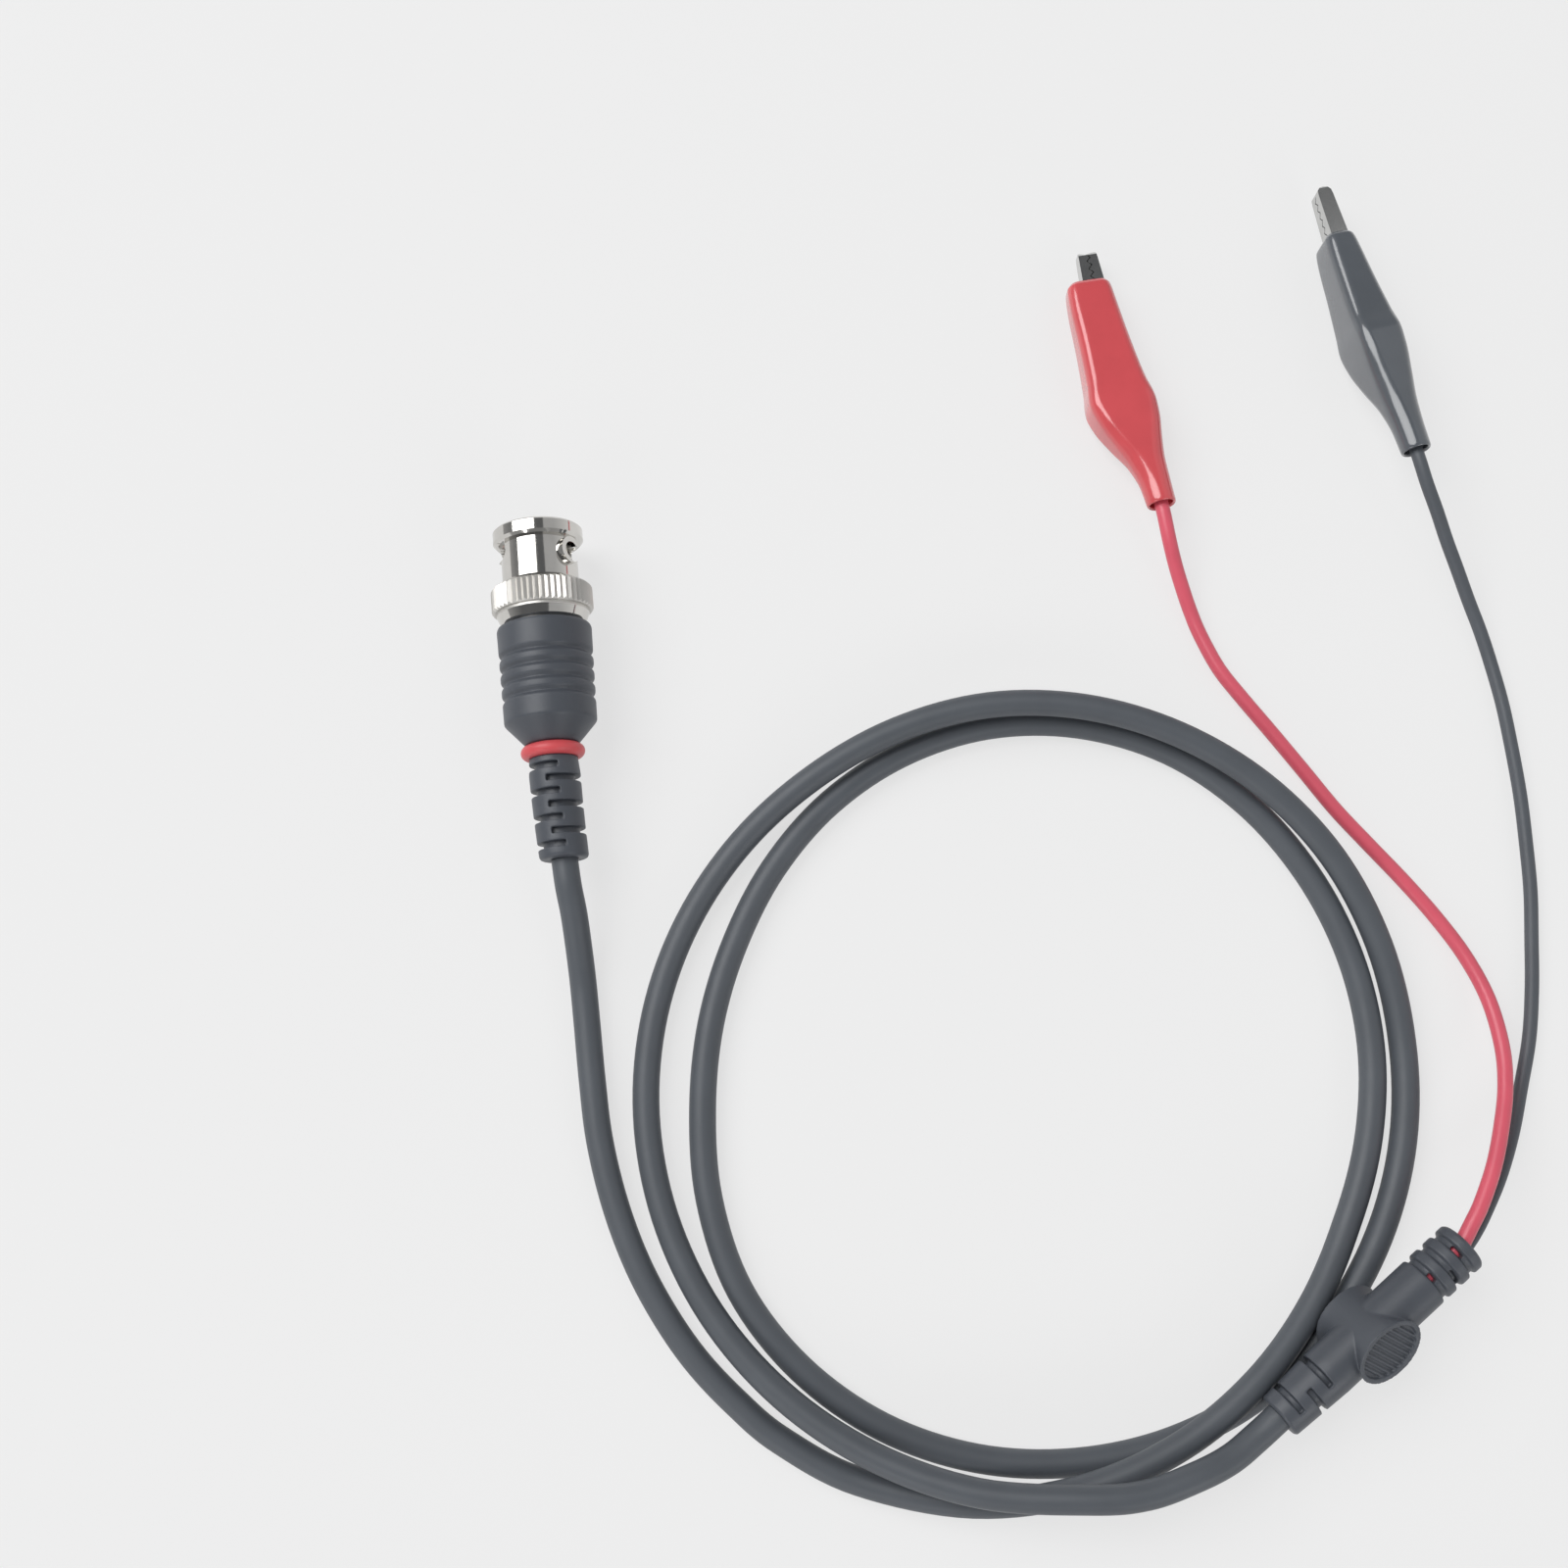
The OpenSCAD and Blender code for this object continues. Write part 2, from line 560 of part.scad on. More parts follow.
module plug_boot() {
    color("dimgray")
        on_plug_axis()
            difference() {
                rotate_extrude()
                    polygon([[0, 0], [relief_r(0) - 0.4, 0], [relief_r(0), 0.4], [relief_r(cone_at), cone_at],
                        [boot_rear_d / 2 - 0.1, grip_at - 0.1], [boot_rear_d / 2, grip_at + 0.1],
                        [boot_front_d / 2, boot_front_at - 0.55], [boot_front_d / 2 - 0.15, boot_front_at - 0.15],
                        [boot_front_d / 2 - 0.55, boot_front_at], [0, boot_front_at]]);
                for (i = [0 : grip_grooves - 1])
                    let (at = groove_at + i * groove_pitch)
                    rotate_extrude()
                        polygon([[grip_r(at) + 0.3, at - groove_w], [grip_r(at) - 0.05, at - groove_w / 2],
                            [grip_r(at) - groove_depth, at - groove_w / 5],
                            [grip_r(at) - groove_depth, at + groove_w / 5],
                            [grip_r(at) - 0.05, at + groove_w / 2], [grip_r(at) + 0.3, at + groove_w]]);
                rotate_extrude() translate([ring_mean_r, ring_at]) circle(r = ring_r + snug);
                for (i = [0 : relief_slots - 1])
                    relief_slot(first_slot_at + i * relief_pitch, i % 2 == 0 ? -1 : 1);
                translate([0, 0, -overcut]) cylinder(h = jacket_end + overcut + 0.1, r = coax_r + snug);
                translate([0, 0, jacket_end]) cylinder(h = body_rear_at - jacket_end + snug, r = ferrule_r + snug);
                translate([0, 0, body_rear_at]) cylinder(h = flange_at - body_rear_at + snug, r = body_rear_r + snug);
                translate([0, 0, flange_at - snug]) cylinder(h = flange_t + overcut, r = flange_r + snug);
            }
}

module marker_ring() {
    color("crimson")
        on_plug_axis()
            rotate_extrude() translate([ring_mean_r, ring_at]) circle(r = ring_r);
}

// ---- splitter ----
module on_splitter_axis() {
    translate(splitter_pos)
        rotate([0, 0, splitter_heading])
            children();
}

// lies along the splitter's axis, at a height and side given by offset
module along_splitter(from, offset = [0, 0]) {
    translate([from, offset[0], offset[1]])
        rotate([0, 90, 0])
            children();
}

// saddle between the two oval pads: wide at the pads, drawn in at the waist
module saddle() {
    sides = 32;
    rows = 8;
    waist = [0.76, 0.93];           // along the splitter and across it
    points = [for (j = [0 : rows], k = [0 : sides - 1])
        let (z = pad_span * (j / rows - 0.5), f = pow(abs(2 * z / pad_span), 3), a = k * 360 / sides)
        [(waist[0] + (1 - waist[0]) * f) * pad_len / 2 * cos(a),
            (waist[1] + (1 - waist[1]) * f) * pad_w / 2 * sin(a), z]];
    walls = [for (j = [0 : rows - 1], k = [0 : sides - 1])
        let (a = j * sides + k, b = j * sides + (k + 1) % sides)
        each [[a, b + sides, b], [a, a + sides, b + sides]]];
    bottom = [for (k = [1 : sides - 2]) [0, k, k + 1]];
    top = [for (k = [1 : sides - 2]) [rows * sides, rows * sides + k + 1, rows * sides + k]];
    polyhedron(points, concat(bottom, walls, top), convexity = 6);
}

// hollow of a thumb pad, with the ridges left standing in it
module pad_hollow() {
    depth = 0.5;
    lip = 0.75;
    ridge_w = 0.42;
    pitch = 0.95;
    difference() {
        translate([0, 0, pad_span / 2 - depth])
            linear_extrude(depth + overcut)
                polygon([for (k = [0 : 31]) [(pad_len / 2 - lip) * cos(k * 360 / 32), (pad_w / 2 - lip) * sin(k * 360 / 32)]]);
        for (i = [0 : pad_ridges - 1])
            translate([(i - (pad_ridges - 1) / 2) * pitch - ridge_w / 2, -pad_w / 2, pad_span / 2 - 2 * depth])
                cube([ridge_w, pad_w, 1.6 * depth]);
    }
}

module splitter_slot(at, r, side, core_r) {
    difference() {
        translate([at - splitter_slot_w / 2, side > 0 ? -0.8 : -r - overcut, -r - overcut])
            cube([splitter_slot_w, r + overcut + 0.8, 2 * (r + overcut)]);
        along_splitter(at - splitter_slot_w) cylinder(h = 2 * splitter_slot_w, r = core_r);
    }
}

// groove all round the lead end, from 0.5 mm under its surface
module splitter_groove(at) {
    along_splitter(at - lead_groove_w / 2) pipe(lead_groove_w, neck_end_r + overcut, neck_end_r - 0.5);
}

module splitter_body() {
    color("dimgray")
        on_splitter_axis()
            difference() {
                union() {
                    translate([pad_at, 0, 0]) rotate([splitter_roll, 0, 0]) saddle();
                    along_splitter(0) cylinder(h = coax_neck_len, r1 = coax_end_r, r2 = neck_end_r);
                    along_splitter(coax_neck_len - snug) cylinder(h = splitter_len - coax_neck_len + snug, r = neck_end_r);
                }
                translate([pad_at, 0, 0]) rotate([splitter_roll, 0, 0]) pad_hollow();
                translate([pad_at, 0, 0]) rotate([splitter_roll + 180, 0, 0]) pad_hollow();
                for (i = [0 : 2]) splitter_slot(2.4 + 2.5 * i, neck_end_r, i % 2 == 0 ? 1 : -1, coax_end_r - 0.8);
                for (i = [0 : 2])
                    let (at = splitter_len - 1.95 - 2.4 * i) {
                        splitter_groove(at);
                        splitter_slot(at, neck_end_r, i % 2 == 0 ? 1 : -1, neck_end_r - 1.1);
                    }
                along_splitter(-overcut) cylinder(h = splice_chamber[0] + overcut, r = coax_r + snug);
                along_splitter(splice_chamber[0] - snug)
                    cylinder(h = splice_chamber[1] - splice_chamber[0], r = splice_chamber_r);
                along_splitter(splice_chamber[1] - 1, red_exit) cylinder(h = splitter_len, r = red_r + snug);
                along_splitter(splice_chamber[1] - 1, black_exit) cylinder(h = splitter_len, r = black_r + snug);
            }
}

module splitter_coax_end() {
    color("dimgray")
        on_splitter_axis()
            along_splitter(0) cylinder(h = splice_chamber[0] - 2 * snug, r = coax_r);
}

module splitter_coax_core() {
    core_end = splice_at - 1.6;
    color("white")
        on_splitter_axis() {
            along_splitter(splice_chamber[0]) cylinder(h = core_end - splice_chamber[0], r = core_r - 0.2);
            tube([[core_end - 0.5, 0, 0], [core_end + 0.1, 0, 0], [splice_at - 0.1, red_exit[0], red_exit[1]],
                [splice_at + splice_len / 2 - snug, red_exit[0], red_exit[1]]], wire_r, 10,
                first = [1, 0, 0], last = [1, 0, 0]);
        }
}

module splitter_braid_tail() {
    start = -1.3;
    color("silver")
        on_splitter_axis()
            tube([[splice_chamber[0], 0, start], [splice_chamber[0] + 2, 0, start],
                [splice_at - 0.1, black_exit[0], black_exit[1]],
                [splice_at + splice_len / 2 - snug, black_exit[0], black_exit[1]]], 0.4, 10,
                first = [1, 0, 0], last = [1, 0, 0]);
}

module splice(offset, r) {
    on_splitter_axis()
        along_splitter(splice_at, offset) pipe(splice_len, splice_r, r + snug);
}

module signal_splice() {
    color("silver") splice(red_exit, wire_r + 0.1);
}

module ground_splice() {
    color("silver") splice(black_exit, 0.4);
}

module shrink_sleeve(offset) {
    on_splitter_axis()
        along_splitter(splice_at - 0.4, offset) pipe(splice_len + 0.8, splice_r + snug + shrink_t, splice_r + snug);
}

module signal_sleeve() {
    color("crimson") shrink_sleeve(red_exit);
}

module ground_sleeve() {
    color("dimgray") shrink_sleeve(black_exit);
}

module splitter_lead_end(offset, r) {
    insulated_from = splice_at + splice_len + 0.6;
    on_splitter_axis() {
        along_splitter(insulated_from, offset) cylinder(h = splitter_len - insulated_from, r = r);
        along_splitter(splice_at + splice_len / 2, offset) cylinder(h = splice_len / 2 + 0.7, r = wire_r + 0.05);
    }
}

module splitter_red_end() {
    color("crimson") splitter_lead_end(red_exit, red_r);
}

module splitter_black_end() {
    color("dimgray") splitter_lead_end(black_exit, black_r);
}

// ---- leads ----
function turned(v, turn) =
    let (a = [v.x, v.y * cos(turn[2]) - v.z * sin(turn[2]), v.y * sin(turn[2]) + v.z * cos(turn[2])],
         b = [a.x * cos(turn[1]) + a.z * sin(turn[1]), a.y, a.z * cos(turn[1]) - a.x * sin(turn[1])])
    [b.x * cos(turn[0]) - b.y * sin(turn[0]), b.x * sin(turn[0]) + b.y * cos(turn[0]), b.z];
splitter_inwards = [-cos(splitter_heading), -sin(splitter_heading), 0];

module red_lead() {
    color("crimson")
        tube(red_route, red_r, 8, first = turned([-1, 0, 0], red_clip_turn), last = splitter_inwards);
}

module black_lead() {
    color("dimgray")
        tube(black_route, black_r, 8, first = turned([-1, 0, 0], black_clip_turn), last = splitter_inwards);
}

// ---- clips ----
module on_clip(end, turn, bare) {
    translate(end)
        rotate([0, 0, turn[0]])
            rotate([0, turn[1], 0])
                rotate([turn[2], 0, 0])
                    translate([bare + boot_len - jaw_len, 0, -neck_offset])
                        children();
}

module on_red_clip() {
    on_clip(red_clip_end, red_clip_turn, red_bare) children();
}

module on_black_clip() {
    on_clip(black_clip_end, black_clip_turn, black_bare) children();
}

// outside line of a jaw from its tip to the end of its handle, as [x, height]
function jaw_back(inset) = [[jaw_len - inset, tip_h / 2 - 0.2 - inset], [jaw_len - 0.3 - inset, tip_h / 2 - inset],
    [0, 2.1 - inset], [-6, handle_root_h - inset], [handle_end + inset, handle_h - inset]];
function jaw_teeth(shift) = [for (i = [0 : floor((jaw_len - 0.4 - teeth_end) / (tooth_pitch / 2))])
    [teeth_end + i * tooth_pitch / 2, (i % 2 == 0 ? -tooth_h / 2 : tooth_h / 2) + shift]];

// half outline of the jaws seen from above
function jaw_plan(waist, inset) = [[jaw_len - inset, 0], [jaw_len - 0.15 - inset, tip_w / 4 - inset / 2],
    [jaw_len - 0.7 - inset, tip_w / 2 - 0.1 - inset], [jaw_len - 1.5, tip_w / 2 - inset], [4, 1.4 - inset],
    [3, waist - inset], [-3, waist - inset], [-5, handle_w / 2 - inset], [handle_end + inset, handle_w / 2 - inset]];

module extrude_side(half) {
    rotate([90, 0, 0])
        translate([0, 0, -half])
            linear_extrude(2 * half)
                children();
}

module plan_block(waist, inset, from) {
    half = jaw_plan(waist, inset);
    tail = from < handle_end ? [[handle_end + inset, 1.15 - inset], [from, 1.15 - inset]] : [];
    outline = concat(half, tail);
    translate([0, 0, -8])
        linear_extrude(16)
            polygon(concat(outline, [for (i = [len(outline) - 1 : -1 : 0]) [outline[i][0], -outline[i][1]]]));
}

crimp_at = -15.5;                   // rear end of the wire crimp
crimp_len = 3.6;
crimp_r = 1.3;

// the wall of the jaw that the lead is crimped to, on the -z side
module fixed_jaw() {
    back = [for (p = jaw_back(0)) [p[0], -p[1]]];
    inner = [for (p = jaw_back(sheet_t)) [p[0], -p[1]]];
    edge = concat([[handle_end, -3.2], [-3, -1.3]], [[teeth_end - 1, -tooth_h / 2 - tooth_gap / 2]],
                  jaw_teeth(-tooth_gap / 2));
    difference() {
        union() {
            intersection() {
                extrude_side(4) polygon(concat(back, edge));
                plan_block(fixed_ear_half, 0, handle_end);
            }
            for (side = [-1, 1])
                translate([0, side * (fixed_ear_half - sheet_t / 2), 0])
                    extrude_side(sheet_t / 2) {
                        circle(r = ear_r);
                        translate([-ear_r, -2.2]) square([2 * ear_r, 2.2]);
                    }
            extrude_side(1.15)
                polygon([[handle_end - snug, -handle_h], [-12, neck_offset - crimp_r - 0.02],
                    [crimp_at, neck_offset - crimp_r - 0.02], [crimp_at, neck_offset - crimp_r + sheet_t],
                    [-12, neck_offset - crimp_r + sheet_t], [handle_end + sheet_t, -handle_h + 2 * sheet_t],
                    [handle_end + sheet_t, -handle_h]]);
            translate([crimp_at, 0, neck_offset]) rotate([0, 90, 0]) cylinder(h = crimp_len, r = crimp_r);
        }
        intersection() {
            extrude_side(4) polygon(concat(inner, [[handle_end + sheet_t, ear_r + 1], [jaw_len - sheet_t, ear_r + 1]]));
            plan_block(fixed_ear_half, sheet_t, handle_end);
        }
        translate([crimp_at - overcut, 0, neck_offset])
            rotate([0, 90, 0]) cylinder(h = crimp_len + 2 * overcut, r = crimp_r - sheet_t);
        extrude_side(4) circle(r = rivet_r + running);
    }
}

// the jaw that opens, on the +z side, with its ears inside those of the fixed jaw
module moving_jaw() {
    edge = concat([[handle_end, 3.2], [-3, 1.3], [-1.2, -0.9], [1.2, -0.9]],
                  [[teeth_end - 1, tooth_gap / 2 - tooth_h / 2 + 0.2]], jaw_teeth(tooth_gap / 2));
    difference() {
        intersection() {
            extrude_side(4) polygon(concat(jaw_back(0), edge));
            plan_block(moving_ear_half, 0, handle_end);
        }
        intersection() {
            extrude_side(4) polygon(concat(jaw_back(sheet_t), [[handle_end + sheet_t, -3], [jaw_len - sheet_t, -3]]));
            plan_block(moving_ear_half, sheet_t, handle_end);
        }
        extrude_side(4) circle(r = rivet_r + running);
    }
}

// torsion spring: its coil sits on the rivet between the ears and its legs press the handles apart
module clip_spring() {
    wire = 0.22;
    half = moving_ear_half - sheet_t - 0.1;
    coil_r = rivet_r + running + 2 * wire;
    rotate([90, 0, 0]) translate([0, 0, -half]) pipe(2 * half, coil_r, rivet_r + running);
    for (side = [-1, 1])
        rod([-0.2, side * (half - wire), side * (coil_r - wire)],
            [-6, side * (half - wire), side * (handle_root_h - sheet_t - 2 * wire)], wire);
}

module clip_rivet() {
    head_t = 0.2;
    head_r = 1.1;
    rotate([90, 0, 0]) {
        translate([0, 0, -fixed_ear_half - snug]) cylinder(h = 2 * (fixed_ear_half + snug), r = rivet_r);
        translate([0, 0, fixed_ear_half + snug]) cylinder(h = head_t, r = head_r);
        translate([0, 0, -fixed_ear_half - snug - head_t]) cylinder(h = head_t, r = head_r);
    }
}

module clip_wire(bare, r) {
    end_x = jaw_len - bare - boot_len;
    translate([end_x, 0, neck_offset]) rotate([0, 90, 0]) cylinder(h = crimp_at - end_x - snug, r = r);
    translate([crimp_at - 2 * snug, 0, neck_offset]) rotate([0, 90, 0]) cylinder(h = crimp_len, r = 0.8);
}

// vinyl boot: rounded box sections from the mouth over the handles to a round neck
function boot_sections(bare) =
    let (mouth = jaw_len - bare, end = mouth - boot_len)
    concat([for (s = boot_front) [mouth + (bulge_at - mouth) * s[0], s[1], s[2], s[3], s[4]]],
           [for (s = boot_rear) [bulge_at + (end - bulge_at) * s[0], s[1], s[2], s[3], s[4]]]);
function boot_ring(s, wall) = [for (k = [0 : 23])
    let (a = (k + 0.5) * 15, r = max(s[3] - wall, 0.3), hy = s[2] - wall, hz = s[1] - wall)
    [s[0], sign(cos(a)) * (hy - r) + r * cos(a), s[4] + sign(sin(a)) * (hz - r) + r * sin(a)]];

module boot_loft(sections, wall) {
    n = len(sections);
    points = [for (s = sections) each boot_ring(s, wall)];
    walls = [for (i = [0 : n - 2], k = [0 : 23])
        let (a = i * 24 + k, b = i * 24 + (k + 1) % 24)
        each [[a, b, b + 24], [a, b + 24, a + 24]]];
    first = [for (k = [1 : 22]) [0, k + 1, k]];
    last = [for (k = [1 : 22]) [(n - 1) * 24, (n - 1) * 24 + k, (n - 1) * 24 + k + 1]];
    polyhedron(points, concat(first, walls, last), convexity = 6);
}

module clip_boot(bare) {
    sections = boot_sections(bare);
    n = len(sections);
    hollow = [for (i = [0 : n - 1])
        let (s = sections[i], out = i == 0 ? overcut : i == n - 1 ? -overcut : 0, lip = i == 0 ? 0.27 : 0)
        [s[0] + out, s[1] + lip, s[2] + lip, s[3] - 0.3, s[4]]];
    difference() {
        boot_loft(sections, 0);
        boot_loft(hollow, vinyl_t);
    }
}

module red_clip_boot() {
    color("crimson") on_red_clip() clip_boot(red_bare);
}

module red_fixed_jaw() {
    color("silver") on_red_clip() fixed_jaw();
}

module red_moving_jaw() {
    color("silver") on_red_clip() moving_jaw();
}

module red_clip_spring() {
    color("gray") on_red_clip() clip_spring();
}

module red_clip_rivet() {
    color("silver") on_red_clip() clip_rivet();
}

module red_clip_wire() {
    color("crimson") on_red_clip() clip_wire(red_bare, red_r);
}

module black_clip_boot() {
    color("dimgray") on_black_clip() clip_boot(black_bare);
}

module black_fixed_jaw() {
    color("silver") on_black_clip() fixed_jaw();
}

module black_moving_jaw() {
    color("silver") on_black_clip() moving_jaw();
}

module black_clip_spring() {
    color("gray") on_black_clip() clip_spring();
}

module black_clip_rivet() {
    color("silver") on_black_clip() clip_rivet();
}

module black_clip_wire() {
    color("dimgray") on_black_clip() clip_wire(black_bare, black_r);
}

coupling_nut();
contact_sleeve();
plug_body();
centre_pin();
plug_insulator();
sealing_gasket();
retaining_ring();
wave_spring();
thrust_washer();
crimp_ferrule();
plug_braid();
plug_coax_core();
plug_coax_end();
plug_boot();
marker_ring();
coax_cable();
splitter_body();
splitter_coax_end();
splitter_coax_core();
splitter_braid_tail();
signal_splice();
ground_splice();
signal_sleeve();
ground_sleeve();
splitter_red_end();
splitter_black_end();
red_lead();
black_lead();
red_clip_boot();
red_fixed_jaw();
red_moving_jaw();
red_clip_spring();
red_clip_rivet();
red_clip_wire();
black_clip_boot();
black_fixed_jaw();
black_moving_jaw();
black_clip_spring();
black_clip_rivet();
black_clip_wire();
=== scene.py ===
"""Looks for the BNC to clip test lead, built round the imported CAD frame.

Blender's lengths are metres, in the frame's axes: +Y is the plug's axis towards its mouth, +Z is
up, and z = 0 is the table. Sizes are written in millimetres, as in the CAD source, and MM turns
them into metres.
"""
import json
import math

import bmesh
import bpy
from mathutils import Matrix, Vector


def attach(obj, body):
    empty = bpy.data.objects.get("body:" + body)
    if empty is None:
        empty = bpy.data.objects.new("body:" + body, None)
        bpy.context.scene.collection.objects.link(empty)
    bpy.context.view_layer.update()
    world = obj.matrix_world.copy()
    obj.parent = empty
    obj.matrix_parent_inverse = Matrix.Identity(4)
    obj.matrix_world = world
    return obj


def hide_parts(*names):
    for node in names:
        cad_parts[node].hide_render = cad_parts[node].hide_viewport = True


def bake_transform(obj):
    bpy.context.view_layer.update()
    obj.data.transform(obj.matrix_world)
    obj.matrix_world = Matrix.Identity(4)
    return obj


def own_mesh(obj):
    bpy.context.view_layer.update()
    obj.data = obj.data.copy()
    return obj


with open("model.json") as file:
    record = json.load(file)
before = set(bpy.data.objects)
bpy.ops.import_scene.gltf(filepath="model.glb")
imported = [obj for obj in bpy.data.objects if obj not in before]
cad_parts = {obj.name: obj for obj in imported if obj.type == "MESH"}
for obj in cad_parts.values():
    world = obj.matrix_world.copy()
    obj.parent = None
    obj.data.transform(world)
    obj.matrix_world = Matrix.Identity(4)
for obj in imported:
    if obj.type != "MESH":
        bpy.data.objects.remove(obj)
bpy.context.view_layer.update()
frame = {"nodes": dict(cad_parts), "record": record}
MM = 0.001
nodes = frame["nodes"]
scene = bpy.context.scene

# ------------------------------------------------------------------ camera
PHOTO_PX = 1600
FOCAL_PX = 1800                              # the photograph's focal length in its own pixels
TARGET = Vector((-29.3, 5.7, 0)) * MM        # the point of the table in the middle of the photo
CAMERA_AT = Vector((-34.1, -44.9, 249.9)) * MM
PICTURE_TURN = math.radians(-5.45)           # the picture's right-hand direction, from +X
SENSOR_MM = 36
SEEN_FROM = 0.01                             # metres
SEEN_TO = 10


def add_camera():
    back = (CAMERA_AT - TARGET).normalized()
    right = Vector((math.cos(PICTURE_TURN), math.sin(PICTURE_TURN), 0))
    up = back.cross(right).normalized()
    right = up.cross(back)
    data = bpy.data.cameras.new("camera")
    data.sensor_width = SENSOR_MM
    data.lens = SENSOR_MM * FOCAL_PX / PHOTO_PX
    data.clip_start = SEEN_FROM
    data.clip_end = SEEN_TO
    camera = bpy.data.objects.new("camera", data)
    axes = Matrix((right, up, back)).transposed().to_4x4()
    camera.matrix_world = Matrix.Translation(CAMERA_AT) @ axes
    scene.collection.objects.link(camera)
    scene.camera = camera


add_camera()
scene.view_settings.view_transform = "Standard"

# ------------------------------------------------------------------ sizes shared with the CAD, mm
COAX_R = 3.75 / 2
RED_R = 2.1 / 2
BLACK_R = 1.9 / 2
PLUG_POS = Vector((-61.4, -3.5, 14.5 / 2))
SPLITTER_POS = Vector((26.8, -85.9, 8))
SPLITTER_HEADING = 34.8
SPLITTER_ROLL = 35
SPLITTER_LEN = 33.6
JAW_LEN = 15.5
BOOT_LEN = 36.8
NECK_OFFSET = -2.68
CLIPS = {
    "red": dict(end=(29.7, 41.2, 4.6), turn=(93.7, 3.5, -90), bare=5.4),
    "black": dict(end=(66.6, 44.5, 8.6), turn=(97.2, 2.4, -177), bare=8.3),
}

# the cable pulls the strain relief aside a little, so it starts beside the plug's axis
RELIEF_PULL = 0.55
COAX_LEAD_IN = [(-61.4 + RELIEF_PULL, -3.5, 7.25), (-60.6, -7.3, 7.1), (-60.25, -11, 5.9),
    (-60.15, -15, 3.9), (-60.05, -20, 2.3), (-59.95, -26, 1.9), (-59.8, -34, 1.9),
    (-59.4, -42, 1.9), (-58, -50.5, 1.9), (-55.7, -58.5, 1.9), (-52.6, -65.6, 1.9),
    (-48.7, -72.2, 1.9), (-43.8, -78.2, 1.9), (-38.2, -83.6, 1.9)]
COIL_CENTRE = (0.7, -39.3)
COIL_START = 240
COIL_STEP = 30
# radius and height of the cable at every COIL_STEP degrees of its two turns
COIL_LAY = [(58.2, 1.9), (53.5, 5.7), (49, 5.6), (47, 1.9), (47.8, 1.9), (49.3, 1.9), (50.9, 1.9),
    (50.2, 1.9), (47.6, 1.9), (45.1, 1.9), (45.6, 1.9), (49.2, 1.9), (50.6, 1.9), (50.8, 1.9),
    (51.3, 1.9), (51.6, 1.9), (52.2, 1.9), (52.9, 4.4), (52.6, 6.3), (52.4, 6.1), (51.6, 4.4),
    (52.4, 1.9), (53.4, 1.9), (54, 3.2), (54, 6.2), (54, 10)]
COAX_LEAD_OUT = [(8, -93.4, 10.1), (14.4, -92, 9.7), (19.5, -90.4, 8.7), (23.6, -88.1, 8),
    (26.8, -85.9, 8)]
RED_ROUTE = [(29.7, 41.2, 4.6), (29.85, 39.1, 4.7), (30.2, 35.5, 4.2), (30.8, 32.1, 3.2),
    (31.6, 28.7, 2.2), (32.5, 25.2, 1.4), (33.5, 21.7, 1.1), (35.4, 16.6, 1.1), (38, 12.1, 1.1),
    (41.8, 6.1, 1.1), (45.5, 0.1, 1.1), (49.1, -5.8, 1.1), (53.1, -11.4, 1.1), (57.1, -16.9, 1.1),
    (60.8, -22.5, 1.1), (63.8, -28.4, 1.6), (65.6, -34.7, 2.6), (65.8, -41.4, 4),
    (64.7, -46.9, 5.4), (62.7, -52, 6.8), (60.3, -57, 8), (57.5, -61.6, 8.8), (55.6, -64.2, 9),
    (54.1, -66.3, 8.95)]
BLACK_ROUTE = [(66.6, 44.5, 8.6), (66.8, 42.5, 8.8), (67.5, 39.2, 8.2), (68.7, 35.5, 7),
    (70, 31.6, 5.4), (71.5, 27.4, 3.8), (72.9, 23, 2.4), (74.2, 18.4, 1.5), (75.1, 13.6, 1),
    (75.7, 7.6, 1), (75.9, 1.3, 1), (75.9, -6, 1), (75.5, -13, 1), (74.9, -20, 1),
    (73.8, -26.9, 1), (72.6, -33.8, 1), (71, -40.5, 1), (68.5, -47, 1.4), (65.7, -53.2, 2.5),
    (62.3, -58.7, 4.2), (58.6, -63.3, 6), (56.5, -65.6, 6.85), (54.8, -67.3, 7.15)]

# ------------------------------------------------------------------ materials
MOTTLE = 0.93                                # the darker shade of a surface, against its colour
MOTTLE_SPAN = (0.35, 0.65)                   # the noise over which the two shades mix
MOTTLE_DETAIL = 3
WEAR_DETAIL = 5
VINYL_MOTTLE_MM = 6                          # size of the patches of shade
VINYL_WEAR_MM = 2.5                          # size of the patches of gloss
VINYL_GRAIN_DETAIL = 3
MOULDED_SPREAD = 0.06                        # how far the roughness drifts each way
DIPPED_SPREAD = 0.02
METAL_MOTTLE_MM = 3
METAL_WEAR_MM = 1.2
METAL_GRAIN_DETAIL = 2
METAL_SPREAD = (0.04, 0.05)
LEAST_ROUGHNESS = 0.02
COAT = 0.9                                   # weight of dipped vinyl's glossy skin
COAT_ROUGHNESS = 0.07

NICKEL = (0.66, 0.645, 0.615)
NICKEL_ROUGHNESS = 0.10
NICKEL_GRAIN = (0.6, 0.0015)
KNURL_SPAN = (0.10, 0.40)                    # of the nut's length, from its boot end
KNURL_ROUGHNESS = 0.48
BLACK = (0.088, 0.098, 0.112)
BOOT_BLACK = (0.070, 0.078, 0.093)
DIPPED_BLACK = (0.098, 0.109, 0.124)
RED = (0.68, 0.085, 0.097)
LEAD_RED = (0.74, 0.112, 0.160)

